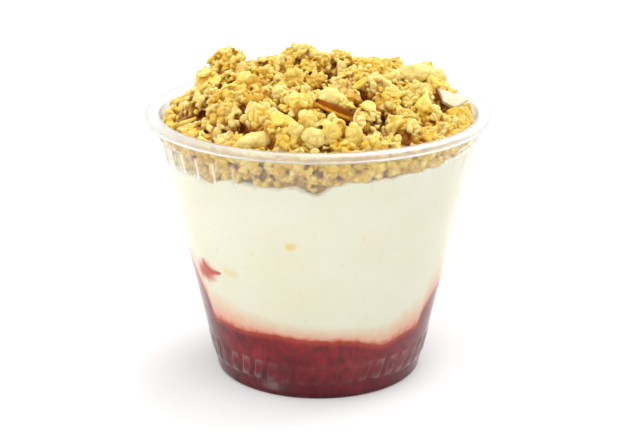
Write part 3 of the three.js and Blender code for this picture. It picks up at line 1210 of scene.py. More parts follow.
@dataclass(frozen=True)
class NutPlate:
    """A thin cut nut: its middle, its turn, and its sizes. Millimetres and degrees."""

    at: tuple  # its middle
    turn: tuple  # roll about its own length, dip of its right end, and turn seen from above
    length: float  # its length
    width: float  # its greatest width
    thick: float  # its thickness
    sight: float = 1.0  # how far under its middle a loose piece in front would still hide it

    def sized(self, x: Array, y: Array, z: Array) -> Array:
        """Points given in half-sizes of the nut, in millimetres round its middle."""
        return np.stack([x, y, z], axis=-1) * (0.5 * np.array([self.length, self.width, self.thick]))

    def laid(self, shape: Array) -> Array:
        """Points of the nut's own shape, turned and moved to their place."""
        return shape @ turned_by(*self.turn).T + np.array(self.at)

    def covered_by(self, at: Array, reach: Array) -> Array:
        """Which lumps would cut into the nut or lie over it, up to 7 mm away.

        Args:
            at: The lumps' middles.
            reach: Their half-widths.

        Returns:
            Yes or no for each.
        """
        x, y, z = ((at - self.at) @ turned_by(*self.turn)).T
        beside = (np.abs(x) < self.length / 2 + 0.6 * reach) & (np.abs(y) < self.width / 2 + 0.7 * reach)
        return beside & (z > -self.thick / 2 - 0.8 * reach) & (z < 7)

    def hidden_by(self, at: Array) -> Array:
        """Which loose pieces would stand between the nut and someone in front of the cup.

        Args:
            at: The pieces' middles.

        Returns:
            Yes or no for each.
        """
        x, y, z = (at - self.at).T
        in_front = (np.abs(x) < self.length / 2) & (y < 0) & (y > -self.length)
        return in_front & (z > -self.sight)


SLIVER = NutPlate((3.8, -25.5, 78.9), (38, 19, -18), 10.5, 2.4, 1.5)
FLAKE = NutPlate((34.9, -5, 76.4), (38, 14, 4), 9.8, 6.3, 1.3)


@dataclass
class Nuts:
    """The almond sliver with its dark skin, and the pale almond flake at the right. Millimetres."""

    squareness: float = 4.0  # of the sliver's section
    bow: float = 0.12  # of the sliver
    wrinkle: float = 0.07  # height of the wrinkles in its skin
    corners: tuple = ((-0.55, -0.6), (0.25, -1.0), (1.05, 0.25), (-0.95, 0.85))  # of the flake, half-sizes
    crisp: float = 14.0  # sharpness of its corners

    def build(self) -> None:
        """Builds both nuts and dresses them."""
        self.sliver(Almond("Almond skin roasted", flesh="#e8b23c", rim="#d8962a", skin="#8f4a00", gloss=0.04))
        self.flake(Almond("Almond flesh sliced", flesh="#e0d8bc", rim="#d8c48c", skin="#90590e"))

    def sliver(self, finish: Almond) -> None:
        """Builds the sliver: a straight squared stick, skinned on top and bare along its lower edge.

        Args:
            finish: Its finish.
        """
        grid = ball_grid(24, 28)
        x, y, z = grid.points.T
        along = np.sign(x) * np.abs(x) ** 0.9
        angle = np.arctan2(z, y)
        narrowed = 1 - 0.15 * smooth(0.2, -1.0, along)
        reach = np.hypot(y, z) ** 0.2 * superellipse(angle, self.squareness) * narrowed
        shape = SLIVER.sized(along, reach * np.cos(angle), reach * np.sin(angle))
        shape[:, 1] += self.bow * along**2
        points = SLIVER.laid(shape)
        points = points + self.wrinkle * noise(points, 0.8, 41)[:, None] * unit(shape)
        char = 0.9 * smooth(-0.75, -0.9, along) + 0.15 * along + 0.12 + 0.25 * noise(points, 1.4, 43)
        fields = {
            "skin": smooth(-0.66, -0.46, np.cos(angle) + 0.12 * noise(points, 1.0, 42)),
            "char": np.clip(char, 0, 1),
        }
        mesh = mesh_of("almond_sliver_cut", Surface(points, grid.corners, grid.sizes, fields))
        finished(mesh, finish.build(), "almond_skin", "almond_sliver")

    def flake(self, finish: Almond) -> None:
        """Builds the flake: a thin four-cornered slice, slightly cupped, its skin left on one edge.

        Args:
            finish: Its finish.
        """
        grid = ball_grid(24, 40)
        x, y, z = grid.points.T
        angle = np.arctan2(y, x)
        flat = np.minimum(1, 1.2 * np.hypot(x, y) ** 0.85)
        rim = flat * polygon_reach(np.array(self.corners), angle, self.crisp)
        px, py = rim * np.cos(angle), rim * np.sin(angle)
        shape = FLAKE.sized(px, py, np.sign(z) * np.abs(z) ** 0.5)
        shape[:, 2] += 0.5 * px * px - 0.3 * py
        skin = smooth(0.72, 0.86, flat) * smooth(-0.42, -0.55, px) * smooth(0.95, 0.8, py)
        fields = {"skin": skin, "char": np.full(len(skin), 0.1)}
        mesh = mesh_of("almond_flake_cut", Surface(FLAKE.laid(shape), grid.corners, grid.sizes, fields))
        finished(mesh, finish.build(), "almond_flesh", "almond_flake")


def superellipse(angle: Array, power: float) -> Array:
    """The reach of a squared-off round: (|cos|^power + |sin|^power)^(-1/power)."""
    return (np.abs(np.cos(angle)) ** power + np.abs(np.sin(angle)) ** power) ** (-1 / power)


def polygon_reach(corners: Array, angle: Array, sharp: float) -> Array:
    """How far a soft-cornered polygon reaches in a direction.

    Args:
        corners: Its corners, anticlockwise round the origin, (n, 2).
        angle: Directions.
        sharp: The higher, the crisper its corners.

    Returns:
        (sum over sides of (cosine to the side's normal / its distance)^sharp)^(-1/sharp).
    """
    along = np.roll(corners, -1, axis=0) - corners
    normal = unit(np.stack([along[:, 1], -along[:, 0]], axis=-1))
    distance = (normal * corners).sum(axis=-1)
    cosine = np.maximum(normal @ np.stack([np.cos(angle), np.sin(angle)]), 0)
    return ((cosine / distance[:, None]) ** sharp).sum(axis=0) ** (-1 / sharp)


# ---- granola ----


class Make(Enum):
    """What a granola cluster is mostly made of."""

    NUBBLY = "small rounded crisps and crumbs"
    FLAKY = "rolled oats stuck together"
    CHUNKY = "a few large smooth crisps"


@dataclass(frozen=True)
class Recipe:
    """How the pieces of a cluster are drawn. Millimetres."""

    crisp: float  # mean half-width of its crisps
    crisps: int  # how many there are on a cluster of the usual size
    nub: float  # mean half-width of the small nubs between them
    nubs: int  # how many there are on a cluster of the usual size
    oats: int  # how many oats lie on it
    sharp: float  # how crisp the edges between a crisp's flats are


RECIPES = {
    Make.NUBBLY: Recipe(1.3, 26, 0.78, 130, 2, 5.0),
    Make.FLAKY: Recipe(1.1, 20, 0.72, 70, 12, 5.0),
    Make.CHUNKY: Recipe(1.9, 16, 0.8, 60, 2, 7.0),
}
CLUSTER_HALF = 5.5  # half-width of the cluster of the usual size, mm


@dataclass(frozen=True)
class Cluster:
    """A clump of granola: an ellipsoid whose skin is made of stuck pieces. Millimetres."""

    at: tuple  # its middle
    size: tuple  # its half-widths
    make: Make  # what it is mostly made of
    toast: float  # how brown it is, 0 to 1


NAMED_CLUSTERS = (
    Cluster((-24.4, 8, 80.6), (5.2, 6.6, 6.9), Make.NUBBLY, 0.3),
    Cluster((-28.6, 4, 76.8), (5.3, 6, 6.2), Make.NUBBLY, 0.25),
    Cluster((-35.2, -2, 68.6), (4.6, 6.2, 4.4), Make.FLAKY, 0.3),
    Cluster((-11.8, 12, 78.2), (5.6, 6, 6), Make.NUBBLY, 0.3),
    Cluster((-5.2, 10, 80.8), (7, 7, 6.6), Make.FLAKY, 0.35),
    Cluster((5.4, 14, 78.4), (6.6, 6.4, 6.4), Make.NUBBLY, 0.25),
    Cluster((14, 11, 77.4), (6.8, 7, 6.2), Make.NUBBLY, 0.3),
    Cluster((28.6, 8, 77.0), (5.6, 6.4, 6.2), Make.CHUNKY, 0.05),
    Cluster((30.8, 2, 75.2), (4.2, 6, 5.4), Make.CHUNKY, 0.1),
    Cluster((36.0, -4, 70.2), (4.2, 6, 4.2), Make.NUBBLY, 0.4),
)

CLEFTS = (  # gaps between clusters: middle and half-widths seen from above
    ((-14.6, -5.5), (3.4, 2.6)),
    ((-1.2, -5.2), (2.2, 2.8)),
    ((-17.5, -19.6), (3.2, 2.4)),
    ((15.3, -17.0), (4.0, 2.6)),
    ((-25.0, -23.0), (3.0, 2.0)),
    ((21.6, -31.1), (2.6, 1.8)),
    ((-2.1, -32.3), (1.6, 1.6)),
    ((12.0, 24.0), (4.0, 2.6)),
    ((-20.0, 26.0), (2.6, 3.6)),
    ((31.0, 14.0), (2.2, 3.4)),
)
BROWNED_AND_SHADED = (*CLEFTS, ((9.8, -10.5), (4.2, 2.8)))  # places darkened by browning and painted shade, in the same way


@dataclass(frozen=True)
class Topping:
    """A large piece that stands out on the heap."""

    at: tuple  # its middle, in millimetres
    size: tuple  # its half-widths
    turn: tuple  # roll, dip and yaw in degrees
    toast: float  # how brown it is, 0 to 1


LARGE_CRISPS = (
    Topping((26.2, 4.6, 80.8), (4.4, 3.2, 2.9), (20, 0, 10), 0.0),
    Topping((31.4, 3.6, 79.2), (2.9, 2.6, 2.7), (0, 20, 40), 0.05),
    Topping((-16.2, -34.0, 72.5), (3.6, 2.5, 2.1), (20, -4, 5), 0.0),
    Topping((-12.1, -8.4, 81.4), (2.2, 0.8, 0.8), (0, -40, 0), 0.1),
    Topping((2.7, -20.6, 80.2), (3.8, 2.6, 2.2), (25, 5, -10), 0.1),
    Topping((8.1, -15.0, 79.2), (3.2, 1.9, 1.8), (20, 22, 10), 0.85),
    Topping((-3.3, -30.2, 76.8), (2.5, 2.3, 2.9), (0, 0, 20), 0.25),
    Topping((-6.0, -35.2, 75.8), (2.0, 1.8, 2.3), (10, 10, 0), 0.15),
    Topping((-1.3, -36.2, 73.8), (3.2, 2.5, 2.8), (0, 15, 30), 0.1),
    Topping((2.9, -35.4, 75.2), (2.4, 2.1, 3.0), (-10, 0, 0), 0.3),
    Topping((8.3, -34.0, 73.8), (2.1, 2.0, 3.2), (0, 10, 50), 0.3),
    Topping((37.0, -9.0, 73.0), (4.0, 1.8, 1.4), (30, 12, 25), 0.5),
)
UPRIGHT_OATS = (
    Topping((-6.4, -7.2, 82.8), (2.5, 2.5, 0.9), (78, 0, 0), 0.3),
    Topping((-10.9, -17.8, 80.6), (2.3, 1.3, 0.55), (75, -50, -20), 0.1),
    Topping((-8.6, -19.3, 79.8), (2.2, 1.2, 0.55), (70, -85, 0), 0.15),
    Topping((-6.5, -18.6, 80.3), (2.2, 1.3, 0.55), (75, -120, 15), 0.2),
    Topping((-9.0, -16.4, 81.6), (2.0, 1.2, 0.5), (50, 10, 20), 0.05),
    Topping((19.2, -10.9, 79.4), (2.8, 1.6, 0.6), (35, 10, 15), 0.35),
    Topping((34.4, 1.0, 77.4), (3.0, 1.6, 0.6), (20, 8, 10), 0.4),
    Topping((24.4, -11.0, 77.2), (2.8, 1.7, 0.6), (45, -10, -10), 0.4),
    Topping((22.2, -19.9, 76.4), (2.6, 1.5, 0.6), (50, 15, 20), 0.3),
    Topping((27.4, -17.8, 77.4), (2.6, 1.5, 0.6), (40, 25, 0), 0.45),
)


@dataclass(frozen=True)
class Lumps:
    """Many small stuck pieces before they are drawn: place, half-widths, turn and browning of each."""

    at: Array
    size: Array
    turn: Array
    toast: Array

    @classmethod
    def of(cls, toppings: tuple) -> "Lumps":
        """The pieces of a list of toppings."""
        at, size, toast = (np.array([getattr(t, name) for t in toppings]) for name in ("at", "size", "toast"))
        return cls(at, size, np.array([turned_by(*t.turn) for t in toppings]), toast)

    def kept(self, keep: Array) -> "Lumps":
        """Only the pieces that a list of yes and no keeps."""
        return Lumps(self.at[keep], self.size[keep], self.turn[keep], self.toast[keep])

    def drawn(self, shape: Array, grid: Surface) -> Surface:
        """The pieces as one surface, each with the grid's faces on its own shape, given in half-widths."""
        turned_shape = np.einsum("nij,nmj->nmi", self.turn, shape * self.size[:, None, :])
        return grid.copies(turned_shape + self.at[:, None, :], {"toast": self.toast})


FLATS = 9  # flats that cut a crisp
FLAT_REACH = (0.72, 1.1)  # least and greatest distance of a flat from the middle, in half-widths
CRISP_REACH = 1.2  # how far a crisp reaches where no flat cuts it, in half-widths


def crisps(lumps: Lumps, grid: Surface, rng: Random, sharp: float) -> Surface:
    """Draws each lump as a broken crisp with softened flats.

    Args:
        lumps: The pieces.
        grid: The directions that each is drawn on.
        rng: Random source.
        sharp: The higher, the crisper the edges between flats.

    Returns:
        All pieces as one surface. The reach in a direction is the soft minimum, by a power sum, of the
        distances to the flats: reach = (sum over flats of (cosine / distance)^sharp)^(-1/sharp).
    """
    count = len(lumps.at)
    flats = unit(rng.normal(size=(count, FLATS, 3)))
    distance = rng.uniform(*FLAT_REACH, (count, FLATS, 1))
    cosine = np.maximum(flats @ grid.points.T, 0)
    total = ((cosine / distance) ** sharp).sum(axis=1) + (1 / CRISP_REACH) ** sharp
    reach = total ** (-1 / sharp)
    return lumps.drawn(grid.points * reach[..., None], grid)


def oat_flakes(lumps: Lumps, grid: Surface, rng: Random) -> Surface:
    """Draws each lump as a rolled oat.

    Args:
        lumps: The flakes: half-length, half-width and half-thickness each.
        grid: The directions that each is drawn on.
        rng: Random source.

    Returns:
        All flakes as one surface: an oval slab with a ragged rim (three cosines round it), a crease along
        its length (a narrow bell across), and a cupped or twisted sheet (x^2, y^2 and xy terms).
    """
    count = len(lumps.at)
    across, along, up = grid.points.T
    angle = np.arctan2(along, across)
    waves = rng.uniform(0, math.tau, (count, 3, 1))
    turns, depth = np.array([2, 3, 5])[:, None], np.array([0.08, 0.07, 0.05])[:, None]
    ragged = 1 + (depth * np.cos(turns * angle + waves)).sum(axis=1)
    rim = np.minimum(1, 1.15 * np.hypot(across, along) ** 0.8) * ragged
    x, y = rim * np.cos(angle), rim * np.sin(angle)
    crease = 0.7 * bell(y, 0.2) * smooth(1.0, 0.6, np.abs(x))
    bend = rng.uniform(-1, 1, (3, count, 1)) * np.array([0.7, 0.6, 0.5])[:, None, None]
    sheet = bend[0] * x * x + bend[1] * y * y + bend[2] * x * y
    z = np.sign(up) * np.abs(up) ** 0.7 * (1 - crease) + sheet
    return lumps.drawn(np.stack([x, y, z], axis=-1), grid)


@dataclass(frozen=True)
class Scatter:
    """A kind of loose piece dropped on the heap. Millimetres."""

    name: str  # name of the object that holds them all
    count: int  # how many are dropped; what would cover a nut or misses its place is left out
    level: float  # how level the spot must be: the upward part of its normal
    low: tuple  # least half-widths
    high: tuple  # greatest half-widths
    inset: float = 0.0  # how far inside the heap's edge they stay
    in_gaps: bool = False  # whether they fill the gaps between clusters, on the core, or lie on the clusters
    oats: bool = False  # whether they are oats, which lie flat, or crumbs


@dataclass
class Granola:
    """The heap: a crumb core, clusters fused from crisps and oats, and loose pieces over them."""

    layers: Layers
    radius: float = 41.0
    mouth: float = 42.25  # inside of the lip
    lean_in: float = 0.8  # how much of a gap the heap leaves under the top of the lip
    narrowing: tuple = (67.0, 70.0)  # heights between which that gap opens
    edge: float = 70.5
    clear_of_lip: float = 2.5  # how far over the edge the heap is held inside the lip
    rise: float = 10.5
    fullness: float = 0.75
    slide: tuple = (-29.5, -37.0, 8.0)  # the heap has slid down at its left: from, to, and how far
    core_drop: float = 3.8  # how far the core lies under the dome
    core_reach: float = 39.8
    core_rows: int = 96
    core_columns: int = 340
    bed_rough: float = 1.4  # height of the core's relief
    buried: float = 1.5  # how deep in the core a piece is left out
    spread: int = 44  # clusters besides the named ones
    sizes: tuple = (4.6, 6.6)  # their least and greatest half-widths
    jitter: tuple = (1.2, 1.2, 0.6)
    sunk: float = 0.42
    shares: tuple = (0.55, 0.2, 0.25)  # of the three makes
    ring: int = 46  # smaller clusters that lean on the wall under the lip
    ring_sizes: tuple = (3.2, 4.6)
    ring_shares: tuple = (0.6, 0.1, 0.3)
    against_wall: float = 4.2  # pieces against the wall for each degree round it
    voxel: float = 0.34  # grain of the fused clusters
    least_shell: float = 2.0  # the least volume of a fused lump, mm3
    browned: float = 1.4  # how far the browning and painted shade reach round a gap, in half-widths of the gap
    roast_and_shade: float = 0.25  # how much darker it is there: browning and painted shade
    coarse_rounds: int = 36  # of the height map's blur: about 2 mm
    fine_rounds: int = 6
    strewn: int = 30  # large crisps besides the named ones
    pebble: float = 2.4  # of the crumbly relief
    sectors: int = 6
    seed: int = 11
    loose_kinds: tuple = (
        Scatter("loose_oats", 60, 0.75, (1.9, 1.3, 0.42), (2.9, 2.0, 0.6), inset=4.0, oats=True),
        Scatter("loose_crumbs", 520, 0.0, (0.4, 0.35, 0.3), (0.95, 0.8, 0.7)),
        Scatter("gap_crumbs", 1500, 0.0, (0.6, 0.55, 0.45), (1.5, 1.2, 1.0), in_gaps=True),
    )

    def dome(self, radius: Array) -> Array:
        """The smooth dome's height at a distance from the axis."""
        share = np.maximum(0, 1 - (radius / self.radius) ** 2)
        return self.edge + self.rise * share**self.fullness

    def core_top(self, radius: Array) -> Array:
        """The core's mean height at a distance from the axis."""
        return self.dome(radius) - self.core_drop

    def on_core(self, place: Array) -> bool:
        """Whether something dropped has landed on the core and not on a cluster."""
        return bool(place[2] < self.core_top(off_axis(place)) + self.bed_rough)

    def left_drop(self, x: float) -> float:
        """How much lower the heap lies at its far left, where it has slid."""
        start, end, most = self.slide
        return most * float(smooth(start, end, np.array(x)))

    def clusters(self) -> list:
        """Strews the clusters over the heap.

        Returns:
            The named ones, more over the dome by the golden angle, and a ring along the wall.
        """
        rng = np.random.default_rng(self.seed)
        makes = list(Make)
        least, most = self.sizes
        found = list(NAMED_CLUSTERS)
        for k in range(self.spread):
            size = least + (most - least) * (k * GOLDEN_SHARE % 1)
            reach = (self.radius - size) * math.sqrt((k + 0.5) / self.spread)
            angle = k * math.tau * GOLDEN_SHARE
            x, y = reach * math.sin(angle), -reach * math.cos(angle)
            z = float(self.dome(np.array(reach))) - self.sunk * size - self.left_drop(x)
            at = tuple(np.array([x, y, z]) + rng.uniform(-1, 1, 3) * self.jitter)
            sizes = tuple(size * rng.uniform(0.85, 1.1, 3))
            make = makes[rng.choice(3, p=self.shares)]
            found.append(Cluster(at, sizes, make, rng.uniform(0.05, 0.5)))
        for k in range(self.ring):
            size = rng.uniform(*self.ring_sizes)
            angle = (k + rng.uniform(-0.3, 0.3)) * math.tau / self.ring
            reach = self.radius - 0.6 - size * rng.uniform(1.0, 1.25)
            slid = self.left_drop(reach * math.sin(angle)) * (0.5 if math.cos(angle) > 0 else 1.0)
            height = self.edge + rng.uniform(-0.6, 1.0) - slid
            make = makes[rng.choice(3, p=self.ring_shares)]
            at = (reach * math.sin(angle), -reach * math.cos(angle), height)
            found.append(Cluster(at, (size, size, size * 0.9), make, rng.uniform(0.05, 0.45)))
        return found

    def exposed(self, lumps: Lumps) -> Array:
        """Which pieces are kept.

        Args:
            lumps: The pieces.

        Returns:
            Yes for those not deep in the core, not through the lip, not over or in a nut or a large piece,
            and not in a gap between clusters, except on its ground.
        """
        radius = off_axis(lumps.at)
        height = lumps.at[:, 2]
        reach = lumps.size.mean(axis=1)
        core = self.core_top(radius)
        keep = (height > core - self.buried) & ((radius + 0.8 * reach < self.radius) | (height < self.edge))
        for nut in (SLIVER, FLAKE):
            keep &= ~nut.covered_by(lumps.at, reach)
        for piece in LARGE_CRISPS + UPRIGHT_OATS:
            local = (lumps.at - piece.at) @ turned_by(*piece.turn)
            keep &= np.linalg.norm(local / (np.array(piece.size) + 0.5 * reach[:, None]), axis=-1) > 1
        for middle, half in CLEFTS:
            gap = np.array(half) + 0.5 * reach[:, None]
            away = np.linalg.norm((lumps.at[:, :2] - middle) / gap, axis=-1)
            keep &= (away > 1) | (height < core + 0.5)
        return keep

    def studded(self, cluster: Cluster, half: float, count: int, rng: Random) -> Lumps:
        """Crisps set into a cluster's skin.

        Args:
            cluster: The clump.
            half: Their mean half-width.
            count: How many there would be on a cluster of the usual size.
            rng: Random source.

        Returns:
            The crisps, along a Fibonacci spiral: height falls evenly as the angle grows by the golden share.
        """
        size = np.array(cluster.size)
        count = int(count * (size.mean() / CLUSTER_HALF) ** 2)
        k = np.arange(count)
        up = 1 - 2 * (k + 0.5) / count
        around = k * math.tau * GOLDEN_SHARE
        side = np.sqrt(1 - up**2)
        spiral = np.stack([side * np.cos(around), side * np.sin(around), up], axis=-1)
        ways = unit(spiral + rng.normal(scale=0.14, size=(count, 3)))
        radii = half * rng.uniform(0.65, 1.35, (count, 1)) * rng.uniform(0.75, 1.25, (count, 3))
        sunk = radii.mean(axis=1, keepdims=True) / size.mean() * rng.uniform(0.45, 1.05, (count, 1))
        at = np.array(cluster.at) + ways * size * (1 - sunk)
        toast = np.clip(cluster.toast + rng.normal(scale=0.18, size=count), 0, 1)
        return Lumps(at, radii, tumbled(rng, count), toast)

    def cluster_skin(self, cluster: Cluster, rng: Random) -> list:
        """The stuck pieces of one cluster.

        Args:
            cluster: The clump.
            rng: Random source.

        Returns:
            Surfaces: a filled middle, crisps set into its skin along a Fibonacci spiral, and oats lying
            flat on it.
        """
        size = np.array(cluster.size)
        recipe = RECIPES[cluster.make]
        # The filled middle shows only between the crisps and is browner: toasting and painted shade.
        middle_toast = np.array([min(1, cluster.toast + 0.3)])
        middle = Lumps(np.array([cluster.at]), size[None] * 0.88, np.eye(3)[None], middle_toast)
        crisp = self.studded(cluster, recipe.crisp, recipe.crisps, rng)
        nubs = self.studded(cluster, recipe.nub, recipe.nubs, rng)
        count = recipe.oats
        ways = unit(rng.normal(size=(count, 3)) + [0, -0.3, 0.6])
        radii = rng.uniform([2.0, 1.4, 0.5], [3.0, 2.1, 0.72], (count, 3))
        at = np.array(cluster.at) + ways * size * rng.uniform(0.84, 0.97, (count, 1))
        lean = unit(ways + rng.normal(scale=0.3, size=(count, 3)))
        toast = np.clip(cluster.toast - 0.05 + rng.normal(scale=0.15, size=count), 0, 1)
        oats = Lumps(at, radii, facing(lean, rng.uniform(0, math.tau, count)), toast)
        crisp, nubs, oats = (lumps.kept(self.exposed(lumps)) for lumps in (crisp, nubs, oats))
        return [
            crisps(middle, ball_grid(10, 16), rng, 4.0),
            crisps(crisp, ball_grid(8, 12), rng, recipe.sharp),
            crisps(nubs, ball_grid(6, 8), rng, 4.0),
            oat_flakes(oats, ball_grid(12, 20), rng),
        ]

    def wall_pieces(self, rng: Random, start: float, end: float) -> Surface:
        """Pieces that lie against the inside of the wall, from the yogurt to the lip.

        Args:
            rng: Random source.
            start: The angle, in degrees, where they start.
            end: The angle where they end.

        Returns:
            The pieces as one surface.
        """
        count = int(self.against_wall * (end - start))
        theta = np.radians(rng.uniform(start, end, count))
        low = self.layers.yogurt_line(theta)
        radii = rng.uniform(0.7, 1.7, (count, 1)) * rng.uniform(0.75, 1.25, (count, 3))
        z = low - 0.2 + (self.edge + 1.0 - low) * rng.uniform(0, 1, count)
        inset = radii.mean(axis=1) * rng.uniform(0.75, 1.3, count) + rng.uniform(0, 1.6, count)
        reach = np.minimum(self.layers.wall.plain(z) - self.layers.wall.sheet, self.mouth) - inset
        toast = np.clip(rng.normal(0.4, 0.2, count), 0, 1)
        lumps = Lumps(on_circle(theta, reach, z), radii, tumbled(rng, count), toast)
        return crisps(lumps, ball_grid(8, 12), rng, 7.0)

    def fused(self, name: str, surfaces: list) -> Mesh:
        """Melts overlapping pieces into one skin, as honey does.

        Args:
            name: The skin's name.
            surfaces: Closed pieces that overlap.

        Returns:
            The skin found by a voxel remesh, with the pieces' browning carried over.
        """
        mesh = mesh_of("pieces", joined(surfaces))
        piece = placed("pieces", mesh)
        mesh.remesh_voxel_size = self.voxel * MM
        mesh.remesh_voxel_adaptivity = 0.0
        mesh.use_remesh_preserve_attributes = True
        bpy.context.view_layer.objects.active = piece
        piece.select_set(True)
        bpy.ops.object.voxel_remesh()
        skin = shells(piece.data, self.least_shell)
        bpy.data.objects.remove(piece)
        return mesh_of(name, skin)

    def weather(self, mesh: Mesh, top: "HeightMap") -> None:
        """Softens the voxel steps, raises the crumb, and marks hollows for browning and painted shade, and
        raised tops and edges for a painted highlight.

        Args:
            mesh: A fused skin.
            top: The heap's blurred top, from which hollows are measured.
        """
        count = len(mesh.vertices)
        a, b = read(mesh.edges, "vertices", 2, np.int32).T
        around = np.bincount(a, minlength=count) + np.bincount(b, minlength=count)

        def mean_of_neighbours(values: Array) -> Array:
            """Each point's average over the points that it shares an edge with."""
            return (np.bincount(a, values[b], count) + np.bincount(b, values[a], count)) / around

        def mean_places(points: Array) -> Array:
            """The middle of each point's neighbours."""
            return np.stack([mean_of_neighbours(row) for row in points.T], axis=-1)

        points = read_points(mesh)
        for _ in range(2):
            points = points + 0.5 * (mean_places(points) - points)
        write_points(mesh, points)
        crease = self.crumbly(mesh, 1 - 0.5 * smooth(self.edge + 0.5, self.edge - 1.5, points[:, 2]))
        points = self.inside_cup(read_points(mesh))
        write_points(mesh, points)
        inward = ((mean_places(points) - points) * read_normals(mesh)).sum(axis=-1) / self.voxel
        for _ in range(3):
            inward = 0.4 * inward + 0.6 * mean_of_neighbours(inward)
        under_lip = smooth(self.edge, self.edge - 1.5, points[:, 2])
        coarse, fine = top.depths(points)
        # Painted shade, with browning: darker the deeper a place lies under the blurred top, in a crease,
        # behind the pieces against the wall, or round a gap.
        cleft = (1 - under_lip) * (0.7 * smooth(0.6, 4.0, coarse) + 0.25 * smooth(0.2, 1.4, fine))
        cleft = cleft + 0.55 * under_lip * smooth(0.7, 2.4, self.wall_reach(points) - off_axis(points))
        away = [np.linalg.norm((points[:, :2] - middle) / half, axis=-1) for middle, half in BROWNED_AND_SHADED]
        roast_and_shade = bell(np.min(away, axis=0), self.browned) * (1 - under_lip)
        hollow = 0.3 * smooth(0.0, 0.24, inward) + 0.24 * crease + cleft + self.roast_and_shade * roast_and_shade
        # Painted highlight: convex places and those standing over the blurred top are paler.
        raised = 0.6 * smooth(0.0, 0.2, -inward) + 0.4 * smooth(0.2, 1.6, -coarse)
        write_fields(mesh, {"hollow": np.clip(hollow, 0, 1), "raised": raised * (1 - 0.6 * roast_and_shade)})

    def crumbly(self, mesh: Mesh, amount: Array) -> Array:
        """Raises the crumb of baked oats on a skin: two sizes of pebbles, parted by creases.

        Args:
            mesh: The skin.
            amount: Height of the relief, one for all or one for each point; 1 on the clusters.

        Returns:
            How deep in a crease between pebbles each point lies, 0 to 1.
        """
        points = read_points(mesh)
        near, gap = pebbles(points + 0.7 * noise(points, 2.5, 23)[:, None], self.pebble, 41)
        _, small_gap = pebbles(points, self.pebble * 0.5, 44)
        lift = 0.4 * smooth(0, 0.4, gap) - 0.4 * near**2 + 0.09 * smooth(0, 0.4, small_gap)
        lift = amount * (lift + 0.16 * noise(points, 1.5, 21) - 0.2)
        write_points(mesh, points + lift[:, None] * read_normals(mesh))
        return np.clip(smooth(0.3, 0.02, gap) + 0.35 * smooth(0.25, 0.02, small_gap), 0, 1)

    def wall_reach(self, points: Array) -> Array:
        """How far out the sheet's inside, or the lip's, lies.

        Args:
            points: Places, for their angles and heights.

        Returns:
            Its distance from the axis at each.
        """
        theta = np.arctan2(points[:, 0], -points[:, 1])
        wall = self.layers.wall
        inside = wall.inside(theta, np.minimum(points[:, 2], wall.ledge))
        return np.minimum(inside, self.mouth - self.lean_in * smooth(*self.narrowing, points[:, 2]))

    def inside_cup(self, points: Array) -> Array:
        """Flattens what would stand through the sheet.

        Args:
            points: Places.

        Returns:
            The places, none of those under the lip further out than it.
        """
        limit = np.where(points[:, 2] < self.edge + self.clear_of_lip, self.wall_reach(points), np.inf)
        share = np.minimum(1, limit / np.maximum(off_axis(points), 1e-6))
        return points * np.stack([share, share, np.ones_like(share)], axis=-1)

    def core(self, material: Material) -> Piece:
        """Builds the core of fine crumbs: a dome under the clusters with a crumbly relief.

        Args:
            material: The granola's material.

        Returns:
            The core.
        """
        theta = all_round(self.core_columns)
        under_radius, under = self.layers.yogurt_top(theta)
        shares = np.linspace(1, 0, self.core_rows)[:, None]
        radius = shares * self.core_reach * np.ones_like(theta)
        relief = on_circle(theta, radius, 0 * radius)
        crumbs = 0.9 * noise(relief, 2.4, 31) + 0.5 * noise(relief, 1.1, 32)
        over = self.core_top(radius) + crumbs * smooth(0, 0.1, shares)
        side = np.array([0.3, 0.6, 0.85])[:, None]
        side_radius = radius[0] - 0.2 + 0.4 * noise(relief[: len(side)], 1.5, 33)
        side_height = under[0] + side * (over[0] - under[0])
        skin = turned(
            np.concatenate([np.minimum(under_radius[::-1], self.core_reach), side_radius, radius]),
            np.concatenate([under[::-1], side_height, over]),
            theta,
        )
        mesh = mesh_of("granola_core", skin)
        inside = smooth(self.core_reach, self.core_reach - 2, off_axis(read_points(mesh)))
        amount = smooth(0.2, 0.6, read_normals(mesh)[:, 2]) * inside
        crease = self.crumbly(mesh, amount)
        # The core, seen only in the gaps under the clusters, is browned and given painted shade, more in its
        # creases, and no painted highlight.
        toast = np.full(len(skin.points), 0.6)
        write_fields(mesh, {"toast": toast, "hollow": 0.4 + 0.5 * crease * amount, "raised": 0 * toast})
        return finished(mesh, material, "granola", "granola")

    def build(self, finish: BakedOats) -> None:
        """Builds the fused clusters sector by sector, then the core and the loose pieces.

        Args:
            finish: The granola's finish.
        """
        material = finish.build()
        clusters = self.clusters()
        angles = np.degrees([math.atan2(c.at[0], -c.at[1]) for c in clusters])
        width = 360 / self.sectors
        meshes = []
        for number in range(self.sectors):
            rng = np.random.default_rng(self.seed + number)
            start = (number - 0.5) * width
            inside = (angles - start) % 360 < width
            surfaces = [s for c, chosen in zip(clusters, inside) if chosen for s in self.cluster_skin(c, rng)]
            surfaces.append(self.wall_pieces(rng, start, start + width))
            meshes.append(self.fused(f"granola_clusters_{number + 1}", surfaces))
        top = HeightMap(np.concatenate([read_points(mesh) for mesh in meshes]), self)
        skins = []
        for mesh in meshes:
            self.weather(mesh, top)
            skins.append(finished(mesh, material, "granola"))
        skins.append(self.core(material))
        depsgraph = bpy.context.evaluated_depsgraph_get()
        *trees, core_tree = (BVHTree.FromObject(skin, depsgraph) for skin in skins)
        self.large(material, trees)
        rng = np.random.default_rng(self.seed + 50)
        for kind in self.loose_kinds:
            skin = self.dropped(kind, trees + [core_tree] * kind.in_gaps, rng)
